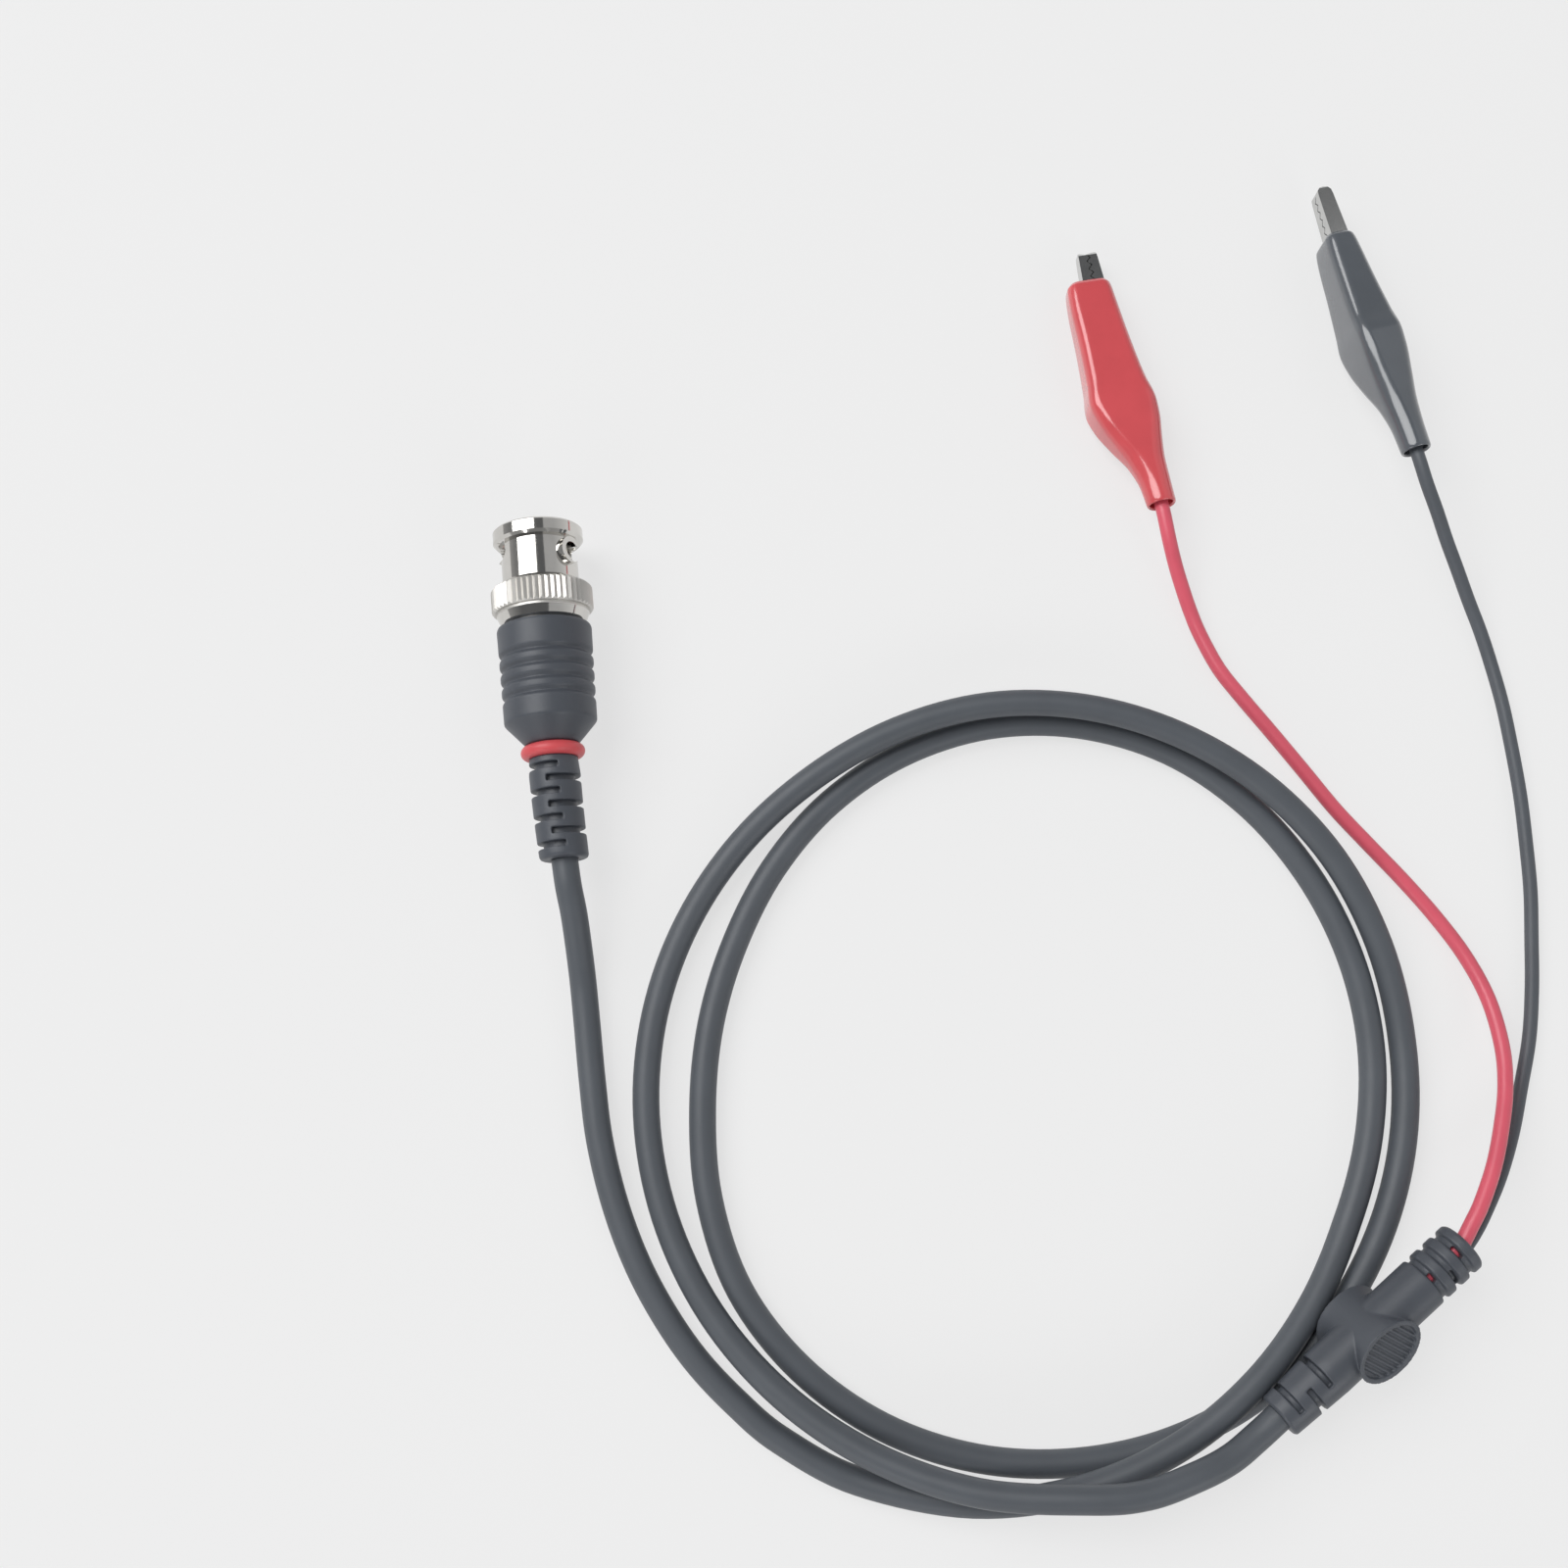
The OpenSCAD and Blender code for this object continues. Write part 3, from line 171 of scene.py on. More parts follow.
# material slot: colour, roughness, size and height of its grain in mm, and how that is stretched
METALS = {
    "nickel": (NICKEL, NICKEL_ROUGHNESS, *NICKEL_GRAIN),
    "contact_gold": ((0.83, 0.62, 0.25), 0.15, 0.4, 0.001),
    "spring_steel": ((0.42, 0.42, 0.42), 0.28, 0.4, 0.002),
    "tinned_copper": ((0.72, 0.70, 0.67), 0.3, 0.25, 0.01),
    "jaw_steel": ((0.62, 0.62, 0.61), 0.16, 0.35, 0.002, (1, 4, 1)),
}
# material slot: colour, roughness, size and height of its grain in mm, and its coat
VINYLS = {
    "insulator": ((0.88, 0.88, 0.85), 0.42, 0.5, 0.002),
    "gasket": ((0.45, 0.10, 0.07), 0.5, 0.4, 0.002),
    "black_jacket": (BLACK, 0.50, 0.7, 0.004),
    "black_boot": (BOOT_BLACK, 0.46, 0.45, 0.004),
    "black_vinyl": (DIPPED_BLACK, 0.26, 6.0, 0.012, COAT),
    "red_vinyl": (RED, 0.26, 6.0, 0.012, COAT),
    "red_jacket": (LEAD_RED, 0.36, 0.8, 0.003),
    "red_ring": (RED, 0.42, 0.6, 0.003),
}


def new_material(name, base, roughness, metallic=0.0, specular=0.5, coat=0.0):
    """A Principled material and what is needed to add to it."""
    mat = bpy.data.materials.new(name)
    mat.use_nodes = True
    tree = mat.node_tree
    shader = tree.nodes["Principled BSDF"]
    shader.inputs["Base Color"].default_value = (*base, 1)
    shader.inputs["Roughness"].default_value = roughness
    shader.inputs["Metallic"].default_value = metallic
    shader.inputs["Specular IOR Level"].default_value = specular
    shader.inputs["Coat Weight"].default_value = coat
    shader.inputs["Coat Roughness"].default_value = COAT_ROUGHNESS
    return mat, tree, shader


def noise(tree, size_mm, detail, stretch=(1, 1, 1)):
    """Noise in object space whose features are about size_mm across."""
    coords = tree.nodes.new("ShaderNodeTexCoord")
    mapping = tree.nodes.new("ShaderNodeMapping")
    mapping.inputs["Scale"].default_value = stretch
    tex = tree.nodes.new("ShaderNodeTexNoise")
    tex.inputs["Scale"].default_value = 1 / (size_mm * MM)
    tex.inputs["Detail"].default_value = detail
    tree.links.new(coords.outputs["Object"], mapping.inputs["Vector"])
    tree.links.new(mapping.outputs["Vector"], tex.inputs["Vector"])
    return tex


def vary_colour(tree, shader, base, size_mm):
    """Lets the colour drift between base and a slightly darker shade of it."""
    ramp = tree.nodes.new("ShaderNodeValToRGB")
    dark, full = ramp.color_ramp.elements[0], ramp.color_ramp.elements[1]
    dark.position, full.position = MOTTLE_SPAN
    dark.color = (*(MOTTLE * c for c in base), 1)
    full.color = (*base, 1)
    tree.links.new(noise(tree, size_mm, MOTTLE_DETAIL).outputs["Fac"], ramp.inputs["Fac"])
    tree.links.new(ramp.outputs["Color"], shader.inputs["Base Color"])


def vary_roughness(tree, shader, low, high, size_mm):
    span = tree.nodes.new("ShaderNodeMapRange")
    span.inputs["To Min"].default_value = low
    span.inputs["To Max"].default_value = high
    tree.links.new(noise(tree, size_mm, WEAR_DETAIL).outputs["Fac"], span.inputs["Value"])
    tree.links.new(span.outputs["Result"], shader.inputs["Roughness"])


def add_bump(tree, shader, size_mm, height_mm, detail, stretch=(1, 1, 1)):
    bump = tree.nodes.new("ShaderNodeBump")
    bump.inputs["Strength"].default_value = 1
    bump.inputs["Distance"].default_value = height_mm * MM
    grain = noise(tree, size_mm, detail, stretch)
    tree.links.new(grain.outputs["Fac"], bump.inputs["Height"])
    tree.links.new(bump.outputs["Normal"], shader.inputs["Normal"])


def vinyl(name, base, roughness, grain_mm, grain_height_mm, coat=0.0):
    """Moulded vinyl, or with a coat dipped vinyl, whose waves are broad and smooth."""
    mat, tree, shader = new_material(name, base, roughness, coat=coat)
    spread = DIPPED_SPREAD if coat else MOULDED_SPREAD
    vary_colour(tree, shader, base, VINYL_MOTTLE_MM)
    vary_roughness(tree, shader, roughness - spread, roughness + spread, VINYL_WEAR_MM)
    add_bump(tree, shader, grain_mm, grain_height_mm, 0 if coat else VINYL_GRAIN_DETAIL)
    return mat


def metal(name, base, roughness, grain_mm, grain_height_mm, stretch=(1, 1, 1)):
    mat, tree, shader = new_material(name, base, roughness, metallic=1.0)
    low = max(roughness - METAL_SPREAD[0], LEAST_ROUGHNESS)
    vary_colour(tree, shader, base, METAL_MOTTLE_MM)
    vary_roughness(tree, shader, low, roughness + METAL_SPREAD[1], METAL_WEAR_MM)
    add_bump(tree, shader, grain_mm, grain_height_mm, METAL_GRAIN_DETAIL, stretch)
    return mat


def coupling_nickel():
    """The nickel of the nut, with its knurl duller than its turned faces."""
    mat = metal("coupling_nickel", NICKEL, NICKEL_ROUGHNESS, *NICKEL_GRAIN)
    tree = mat.node_tree
    coords = tree.nodes.new("ShaderNodeTexCoord")
    split = tree.nodes.new("ShaderNodeSeparateXYZ")
    ramp = tree.nodes.new("ShaderNodeValToRGB")
    ramp.color_ramp.interpolation = "CONSTANT"
    stops = ramp.color_ramp.elements
    stops[0].color = (*[NICKEL_ROUGHNESS] * 3, 1)
    for at, roughness in zip(KNURL_SPAN, (KNURL_ROUGHNESS, NICKEL_ROUGHNESS)):
        stops.new(at).color = (*[roughness] * 3, 1)
    stops.remove(stops[-1])                  # the ramp's own stop at the far end
    tree.links.new(coords.outputs["Generated"], split.inputs["Vector"])
    tree.links.new(split.outputs["Y"], ramp.inputs["Fac"])
    tree.links.new(ramp.outputs["Color"], tree.nodes["Principled BSDF"].inputs["Roughness"])
    return mat


MATERIALS = {slot: metal(slot, *look) for slot, look in METALS.items()}
MATERIALS.update({slot: vinyl(slot, *look) for slot, look in VINYLS.items()})


def paint(obj, slot):
    obj.data.materials.clear()
    obj.data.materials.append(MATERIALS[slot])


def paint_nodes():
    slots = {s["node"]: s["material_slot"] for s in frame["record"]["subparts"]}
    for name, node in nodes.items():
        for place in node.material_slots:
            place.material = MATERIALS[slots[name]]
    for place in nodes["coupling_nut"].material_slots:
        place.material = coupling_nickel()


# ------------------------------------------------------------------ mesh helpers
SHARP_ABOVE = 35                             # degrees between two faces
PAST = 1                                     # how far a cutting block stands past what it cuts
MOULD_VOXEL = 0.11


def add_mesh(name, points_mm, faces, sharp_above=SHARP_ABOVE):
    """A mesh piece from points in mm, smooth but for its edges above sharp_above degrees."""
    mesh = bpy.data.meshes.new(name)
    mesh.from_pydata([Vector(p) * MM for p in points_mm], [], faces)
    build = bmesh.new()
    build.from_mesh(mesh)
    bmesh.ops.recalc_face_normals(build, faces=build.faces)
    build.to_mesh(mesh)
    build.free()
    obj = bpy.data.objects.new(name, mesh)
    scene.collection.objects.link(obj)
    mesh.shade_smooth()
    mesh.set_sharp_from_angle(angle=math.radians(sharp_above))
    return obj


def grid_faces(rows, columns, close_rows=False):
    """Quads of a grid of rows that each close on themselves."""
    faces = []
    for i in range(rows if close_rows else rows - 1):
        a, b = i * columns, ((i + 1) % rows) * columns
        for k in range(columns):
            right = (k + 1) % columns
            faces.append((a + k, a + right, b + right, b + k))
    return faces


def capped_grid(rows, columns):
    """The faces of such a grid, with one over its first row and one over its last."""
    count = rows * columns
    return grid_faces(rows, columns) + [tuple(range(columns)), tuple(range(count - columns, count))]


def revolve(name, profile, sides):
    """Turned piece with closed ends: profile is (radius, distance along +Z), in mm."""
    turns = [math.tau * k / sides for k in range(sides)]
    points = [(r * math.cos(a), r * math.sin(a), z) for r, z in profile for a in turns]
    return add_mesh(name, points, capped_grid(len(profile), sides))


def block(low, high):
    """A plain cutting block between two corners, in mm."""
    (x0, y0, z0), (x1, y1, z1) = low, high
    points = [(x, y, z) for x in (x0, x1) for y in (y0, y1) for z in (z0, z1)]
    faces = [(0, 1, 3, 2), (4, 6, 7, 5), (0, 4, 5, 1), (2, 3, 7, 6), (0, 2, 6, 4), (1, 5, 7, 3)]
    return add_mesh("block", points, faces)


def settle(obj):
    """Applies every modifier of obj."""
    bpy.context.view_layer.update()
    shown = obj.evaluated_get(bpy.context.evaluated_depsgraph_get())
    mesh = bpy.data.meshes.new_from_object(shown)
    obj.modifiers.clear()
    obj.data = mesh


def cut(obj, tools):
    """Takes the tools out of obj."""
    for tool in tools:
        step = obj.modifiers.new("cut", "BOOLEAN")
        step.operation = "DIFFERENCE"
        step.solver = "EXACT"
        step.object = tool
    settle(obj)
    for tool in tools:
        bpy.data.objects.remove(tool)


def mould(obj, rounds):
    """Runs the joined or cut shapes of obj into one moulded skin with small fillets."""
    skin = obj.modifiers.new("skin", "REMESH")
    skin.mode = "VOXEL"
    skin.voxel_size = MOULD_VOXEL * MM
    skin.use_smooth_shade = True
    fillet = obj.modifiers.new("round", "SMOOTH")
    fillet.factor = 0.5
    fillet.iterations = rounds
    settle(obj)
    obj.data.shade_smooth()


def join(objects, name):
    """One object out of several."""
    build = bmesh.new()
    for obj in objects:
        copy = obj.data.copy()
        copy.transform(obj.matrix_world)
        build.from_mesh(copy)
        bpy.data.objects.remove(obj)
        bpy.data.meshes.remove(copy)
    mesh = bpy.data.meshes.new(name)
    build.to_mesh(mesh)
    build.free()
    joined = bpy.data.objects.new(name, mesh)
    scene.collection.objects.link(joined)
    return joined


def move_mesh(obj, matrix):
    """Moves the mesh of obj, whose own place stays the origin."""
    obj.data.transform(matrix)
    obj.matrix_world = Matrix.Identity(4)


def catmull(points, steps):
    """A smooth line through points, with steps pieces between each two."""
    points = [Vector(p) for p in points]
    ends = [2 * points[0] - points[1], *points, 2 * points[-1] - points[-2]]
    line = []
    for i in range(1, len(ends) - 2):
        a, b, c, d = ends[i - 1 : i + 3]
        for s in range(steps):
            t = s / steps
            line.append(0.5 * (2 * b + (c - a) * t + (2 * a - 5 * b + 4 * c - d) * t * t
                               + (3 * b - a - 3 * c + d) * t ** 3))
    return line + [points[-1]]


# ------------------------------------------------------------------ cable and leads
CORD_STEPS = 8
CORD_BEVEL = 6


def coil_lay(i):
    """Radius and height at a knot of the coil, or at the nearest one past its ends."""
    return Vector((*COIL_LAY[max(0, min(i, len(COIL_LAY) - 1))], 0))


def coil_points():
    """The knots of the two turns, and halfway between two the point of a cubic through four."""
    points = []
    for k in range(2 * len(COIL_LAY) - 1):
        i = k // 2
        lay = coil_lay(i)
        if k % 2:
            lay = (9 * (lay + coil_lay(i + 1)) - coil_lay(i - 1) - coil_lay(i + 2)) / 16
        a = math.radians(COIL_START + COIL_STEP / 2 * k)
        x, y = COIL_CENTRE[0] + lay.x * math.cos(a), COIL_CENTRE[1] + lay.x * math.sin(a)
        points.append((x, y, max(lay.y, COAX_R)))
    return points


def add_cord(name, node, route, radius_mm, slot):
    """A round cord along route, nowhere below the table, and its length in metres."""
    line = [Vector((p.x, p.y, max(p.z, radius_mm))) for p in catmull(route, CORD_STEPS)]
    curve = bpy.data.curves.new(name, "CURVE")
    curve.dimensions = "3D"
    curve.bevel_depth = radius_mm * MM
    curve.bevel_resolution = CORD_BEVEL
    curve.use_fill_caps = True
    spline = curve.splines.new("POLY")
    spline.points.add(len(line) - 1)
    for knot, point in zip(spline.points, line):
        knot.co = (*(point * MM), 1)
    spline.use_smooth = True
    obj = bpy.data.objects.new(name, curve)
    scene.collection.objects.link(obj)
    obj.data.materials.append(MATERIALS[slot])
    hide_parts(node)
    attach(obj, "lead")
    length = sum((b - a).length for a, b in zip(line, line[1:])) * MM
    return obj, length


def add_cords():
    route = COAX_LEAD_IN + coil_points() + COAX_LEAD_OUT
    coax, length = add_cord("coax", "coax_cable", route, COAX_R, "black_jacket")
    for colour, route, radius in (("red", RED_ROUTE, RED_R), ("black", BLACK_ROUTE, BLACK_R)):
        lead, length = add_cord(colour + "_flex", colour + "_lead", route, radius,
                                colour + "_jacket")


add_cords()
paint_nodes()

# ------------------------------------------------------------------ plug boot
# distances are from the face that the cable leaves
RELIEF_LEN = 16.3
GRIP_AT = 19.6
BOOT_FRONT_AT = 33.7
BOOT_REAR_R = 13.1 / 2
BOOT_FRONT_R = 13.5 / 2
BOOT_FACE_R = 4.7                            # inner edge of the front face
BOOT_SIDES = 128
BOOT_ROUNDS = 4
BORE_DEPTH = 3.0
BORE_EDGE = [(0.02, 0.1), (0.2, -0.05)]                     # outwards of the cable, and where
RELIEF_REAR_R = 6.9 / 2
RELIEF_FRONT_R = 7.35 / 2
RELIEF_STATIONS = (1, 4, 8, 12)
REAR_EDGE = [(0.5, -0.05), (0.15, 0.1), (0, 0.45)]          # inwards of the relief, and where
CONE_EDGE = [(0.25, -0.3), (0.05, -0.05), (0, 0.2)]         # inwards of the grip, and past its end
FRONT_EDGE = [(0, 0.55), (0.15, 0.15), (0.55, 0)]           # inwards, and behind the front face
RING_R = 1.9 / 2
RING_MEAN_R = 9.05 / 2 - RING_R
RING_AT = RELIEF_LEN - RING_R
RING_SEAT = 0.92                             # depth of the ring's seat, against RING_R
SEAT_STEP = 10                               # degrees
FIRST_SLOT_AT = 1.8
RELIEF_PITCH = 1.87
RELIEF_SLOTS = 7
SLOT_W = 0.92
SLOT_CORE_R = 2.65                           # the tube at which the slots stop
SLOT_PAST_AXIS = 0.9
CORE_SIDES = 48
GROOVE_AT = 23.0
GROOVE_PITCH = 2.05
GROOVES = 4
GROOVE_W = 0.8
GROOVE_DEPTH = 0.45
GROOVE_STEPS = 6
GROOVE_ROUNDNESS = 1.5


def grip_r(at):
    share = (at - GRIP_AT) / (BOOT_FRONT_AT - GRIP_AT)
    return BOOT_REAR_R + (BOOT_FRONT_R - BOOT_REAR_R) * share


def relief_r(at):
    return RELIEF_REAR_R + (RELIEF_FRONT_R - RELIEF_REAR_R) * at / RELIEF_LEN


def boot_profile():
    """The boot's line from its bore at the cable, over its outside, to its front face."""
    line = [(COAX_R + BORE_EDGE[0][0], BORE_DEPTH)]
    line += [(COAX_R + outwards, at) for outwards, at in BORE_EDGE]
    line += [(relief_r(0) - inwards, at) for inwards, at in REAR_EDGE]
    line += [(relief_r(at), at) for at in RELIEF_STATIONS]
    for degrees in range(-80, 81, SEAT_STEP):
        a = math.radians(degrees)
        seat = RING_SEAT * RING_R * math.cos(a)
        line.append((RING_MEAN_R - seat, RING_AT + RING_R * math.sin(a)))
    line.append((RELIEF_FRONT_R + 0.1, RELIEF_LEN + 0.15))
    line += [(BOOT_REAR_R - inwards, GRIP_AT + past) for inwards, past in CONE_EDGE]
    for i in range(GROOVES):
        for k in range(-GROOVE_STEPS, GROOVE_STEPS + 1):
            x = k / GROOVE_STEPS
            dip = GROOVE_DEPTH * (0.5 + 0.5 * math.cos(math.pi * x)) ** GROOVE_ROUNDNESS
            at = GROOVE_AT + i * GROOVE_PITCH + x * GROOVE_W
            line.append((grip_r(at) - dip, at))
    line += [(BOOT_FRONT_R - inwards, BOOT_FRONT_AT - back) for inwards, back in FRONT_EDGE]
    return line + [(BOOT_FACE_R, BOOT_FRONT_AT), (BOOT_FACE_R, BOOT_FRONT_AT - 1)]


def relief_slot(at, side):
    """One slot of the strain relief, cut in from one side and stopping at the inner tube."""
    reach = RELIEF_FRONT_R + PAST
    low = (-SLOT_PAST_AXIS if side > 0 else -reach, -reach, at - SLOT_W / 2)
    high = (reach if side > 0 else SLOT_PAST_AXIS, reach, at + SLOT_W / 2)
    tool = block(low, high)
    core = [(SLOT_CORE_R, at - SLOT_W), (SLOT_CORE_R, at + SLOT_W)]
    cut(tool, [revolve("core", core, CORE_SIDES)])
    return tool


def add_plug_boot():
    boot = revolve("plug_boot_skin", boot_profile(), BOOT_SIDES)
    cut(boot, [relief_slot(FIRST_SLOT_AT + i * RELIEF_PITCH, 1 if i % 2 else -1)
               for i in range(RELIEF_SLOTS)])
    mould(boot, BOOT_ROUNDS)
    for vertex in boot.data.vertices:
        behind = max(RELIEF_LEN - vertex.co.z / MM, 0) / RELIEF_LEN
        vertex.co.x += RELIEF_PULL * MM * behind ** 2
    lay = Matrix.Rotation(math.radians(-90), 4, "X")
    move_mesh(boot, Matrix.Translation(PLUG_POS * MM) @ lay)
    paint(boot, "black_boot")
    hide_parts("plug_boot")
    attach(boot, "lead")


add_plug_boot()

# ------------------------------------------------------------------ splitter
# x runs along its axis from the end of the coaxial cable
PAD_SPAN = 9
PAD_LEN = 10.2
PAD_W = 8
PAD_AT = 16.1
PAD_LIP = 0.75
PAD_HOLLOW = 0.22
PAD_RIDGES = 9
PAD_SLANT = 0.36                             # how far a ridge shifts along x per mm across
RIDGE_W = 0.38
RIDGE_PITCH = 0.88
RIDGE_GROOVE = 0.5                           # depth between the ridges
PAD_STEPS = 48
RIDGE_STEPS = 8
WAIST = (0.76, 0.93)                         # of the spool between the pads, along and across
SADDLE_ROWS = 24
NECK_R = 6.9 / 2
NECK_SIDES = 64
COAX_END_R = 6.1 / 2
COAX_END_EDGE = 0.3
COAX_NECK_LEN = 9
COAX_SLOTS = [(2.4, 1), (4.9, -1), (7.4, 1)]                # x, and the side it is cut from
COAX_SLOT_W = 0.85
COAX_SLOT_PAST_AXIS = 0.8
COAX_SLOT_CORE_R = COAX_END_R - 0.6
LEAD_GROOVE_FROM_END = 1.95
LEAD_GROOVE_PITCH = 2.4
LEAD_GROOVES = [SPLITTER_LEN - LEAD_GROOVE_FROM_END - LEAD_GROOVE_PITCH * i for i in range(3)]
LEAD_GROOVE_W = 1
LEAD_GROOVE_DEPTH = 0.5
LEAD_GROOVE_SIDE = [(0, 0.1), (0.1, 0), (LEAD_GROOVE_DEPTH, -0.12)]   # inwards, and past its edge
LEAD_END_EDGE = [(0, 0.35), (0.3, 0)]                       # inwards, and behind the end
LEAD_MOUTH_R = 2.4
# the deeper part of each of those grooves: from and to across, and the radius that it stops at
LEAD_WINDOWS = [(-0.3, 1.5, 1.5), (-NECK_R - PAST, -0.4, 2.2), (-0.2, 1.1, 1.5)]
LEAD_WINDOW_W = 0.6
LEAD_WINDOW_FLOOR = 0.2
SPLITTER_ROUNDS = 5


def oval(half_x, half_y, z):
    turns = [math.tau * k / NECK_SIDES for k in range(NECK_SIDES)]
    return [(half_x * math.cos(a), half_y * math.sin(a), z) for a in turns]


def saddle():
    """The waisted block between the two thumb pads."""
    points = []
    for j in range(SADDLE_ROWS + 1):
        z = PAD_SPAN * (j / SADDLE_ROWS - 0.5)
        along, across = (w + (1 - w) * abs(2 * z / PAD_SPAN) ** 3 for w in WAIST)
        points += oval(along * PAD_LEN / 2, across * PAD_W / 2, z)
    return add_mesh("saddle", points, capped_grid(SADDLE_ROWS + 1, NECK_SIDES))


def slanted_strip(x0, x1, steps):
    """Outline of the part of a pad, inside its lip, between two slanted lines."""
    a, b, k = PAD_LEN / 2 - PAD_LIP, PAD_W / 2 - PAD_LIP, PAD_SLANT
    left, right = [], []
    for n in range(steps + 1):
        x = x0 + (x1 - x0) * n / steps
        # where the slanted line through x crosses the oval
        square, half = (k / a) ** 2 + 1 / b ** 2, x * k / a ** 2
        root = math.sqrt(max(half ** 2 - square * ((x / a) ** 2 - 1), 0))
        left.append(((half + root) / square, x))
        right.append(((half - root) / square, x))
    return [(x - k * y, y) for y, x in left + right[::-1]]


def pad_hollow(up):
    """What is taken out of a pad: a shallow hollow, and the grooves between slanted ridges."""
    reach = math.hypot(PAD_LEN / 2 - PAD_LIP, PAD_SLANT * (PAD_W / 2 - PAD_LIP)) - 0.01
    ridges = [(i - (PAD_RIDGES - 1) / 2) * RIDGE_PITCH for i in range(PAD_RIDGES)]
    starts = [-reach] + [at + RIDGE_W / 2 for at in ridges]
    stops = [at - RIDGE_W / 2 for at in ridges] + [reach]
    shapes = [(PAD_HOLLOW, slanted_strip(-reach, reach, PAD_STEPS))]
    shapes += [(RIDGE_GROOVE, slanted_strip(*span, RIDGE_STEPS)) for span in zip(starts, stops)]
    tools = []
    for depth, outline in shapes:
        n = len(outline)
        ends = (up * (PAD_SPAN / 2 - depth), up * (PAD_SPAN / 2 + PAST))
        points = [(x, y, z) for z in ends for x, y in outline]
        faces = [(m, (m + 1) % n, n + (m + 1) % n, n + m) for m in range(n)]
        faces += [tuple(range(n)), tuple(range(n, 2 * n))]
        tools.append(add_mesh("hollow", points, faces))
    return tools


def tube_along_x(profile):
    tube = revolve("tube", profile, NECK_SIDES)
    move_mesh(tube, Matrix.Rotation(math.radians(90), 4, "Y"))
    return tube


def coax_slot(at, side):
    """One slot of the coaxial neck, cut in from one side and stopping at the inner tube."""
    half, reach = COAX_SLOT_W / 2, NECK_R + PAST
    low = (at - half, -COAX_SLOT_PAST_AXIS if side > 0 else -reach, -reach)
    high = (at + half, reach if side > 0 else COAX_SLOT_PAST_AXIS, reach)
    tool = block(low, high)
    cut(tool, [tube_along_x([(COAX_SLOT_CORE_R, at - 1), (COAX_SLOT_CORE_R, at + 1)])])
    return tool


def lead_window(at, low_y, high_y, core_r):
    """The deeper part of a groove at the lead end, open upwards between two widths."""
    half = LEAD_WINDOW_W / 2
    tool = block((at - half, low_y, LEAD_WINDOW_FLOOR), (at + half, high_y, NECK_R + PAST))
    cut(tool, [tube_along_x([(core_r, at - 1), (core_r, at + 1)])])
    return tool


def lead_neck_profile():
    """The neck at the lead end, with a groove all round it at each place in LEAD_GROOVES."""
    half = LEAD_GROOVE_W / 2
    side = [(inwards, half + past) for inwards, past in LEAD_GROOVE_SIDE]
    line = [(NECK_R, PAD_AT)]
    for at in sorted(LEAD_GROOVES):
        line += [(NECK_R - inwards, at - away) for inwards, away in side]
        line += [(NECK_R - inwards, at + away) for inwards, away in side[::-1]]
    line += [(NECK_R - inwards, SPLITTER_LEN - back) for inwards, back in LEAD_END_EDGE]
    return line + [(LEAD_MOUTH_R, SPLITTER_LEN)]


def add_splitter():
    roll = Matrix.Rotation(math.radians(SPLITTER_ROLL), 4, "X")
    spool = saddle()
    cut(spool, pad_hollow(1) + pad_hollow(-1))
    move_mesh(spool, Matrix.Translation((PAD_AT * MM, 0, 0)) @ roll)
    coax_neck = tube_along_x([(COAX_END_R - COAX_END_EDGE, 0), (COAX_END_R, COAX_END_EDGE),
                              (NECK_R, COAX_NECK_LEN), (NECK_R, PAD_AT)])
    cut(coax_neck, [coax_slot(at, side) for at, side in COAX_SLOTS])
    lead_neck = tube_along_x(lead_neck_profile())
    cut(lead_neck, [lead_window(at, *window) for at, window in zip(LEAD_GROOVES, LEAD_WINDOWS)])
    body = join([spool, coax_neck, lead_neck], "splitter_skin")
    mould(body, SPLITTER_ROUNDS)
    heading = Matrix.Rotation(math.radians(SPLITTER_HEADING), 4, "Z")
    move_mesh(body, Matrix.Translation(SPLITTER_POS * MM) @ heading)
    paint(body, "black_boot")
    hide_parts("splitter_body")
    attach(body, "lead")


add_splitter()

# ------------------------------------------------------------------ vinyl boots of the clips
BULGE_AT = -10.5
VINYL_T = 0.5
BOOT_RIM = 0.22                              # rounding of the boot's two ends
MOUTH_LIP = (-0.02, VINYL_T - 0.08)          # past the mouth's rim, and inwards to its bore
TAIL_LIP = (0.05, VINYL_T - 0.1)             # the same at the neck
LEAST_CORNER = 0.3
RING_SIDES = 48
ROW_STEPS = 6
INSIDE_EVERY = 3                             # the inside has one ring for so many of the outside
BOOT_SHARP_ABOVE = 60
# half height, half width, corner radius and offset of a boot, from its mouth (0) to its bulge (1)
BOOT_FRONT = [(0, 2.9, 1.9, 1.3, 0.8), (0.03, 3.3, 2.25, 1.5, 0.85), (0.12, 3.5, 2.45, 1.5, 0.85),
              (0.5, 3.9, 2.9, 1.6, 0.55), (0.82, 4.4, 3.25, 1.6, 0.25), (1, 4.95, 3.4, 1.6, 0)]
# the same from its bulge (0) to its end (1)
BOOT_REAR = [(0.15, 4.7, 3.35, 1.8, -0.35), (0.38, 3.7, 3, 2, -1.05), (0.6, 2.7, 2.55, 2.2, -1.9),
             (0.8, 2.3, 2.25, 2.2, -2.45), (1, 2.15, 2.15, 2.14, NECK_OFFSET)]
# where the boot's side beside the moving jaw starts, how far it reaches, and in which direction
FOLLOW_FROM = Vector((0, 0, -2.6))
FOLLOW_OVER = 8.4
FOLLOW_AXIS = Vector((0.07, 0, 1)).normalized()


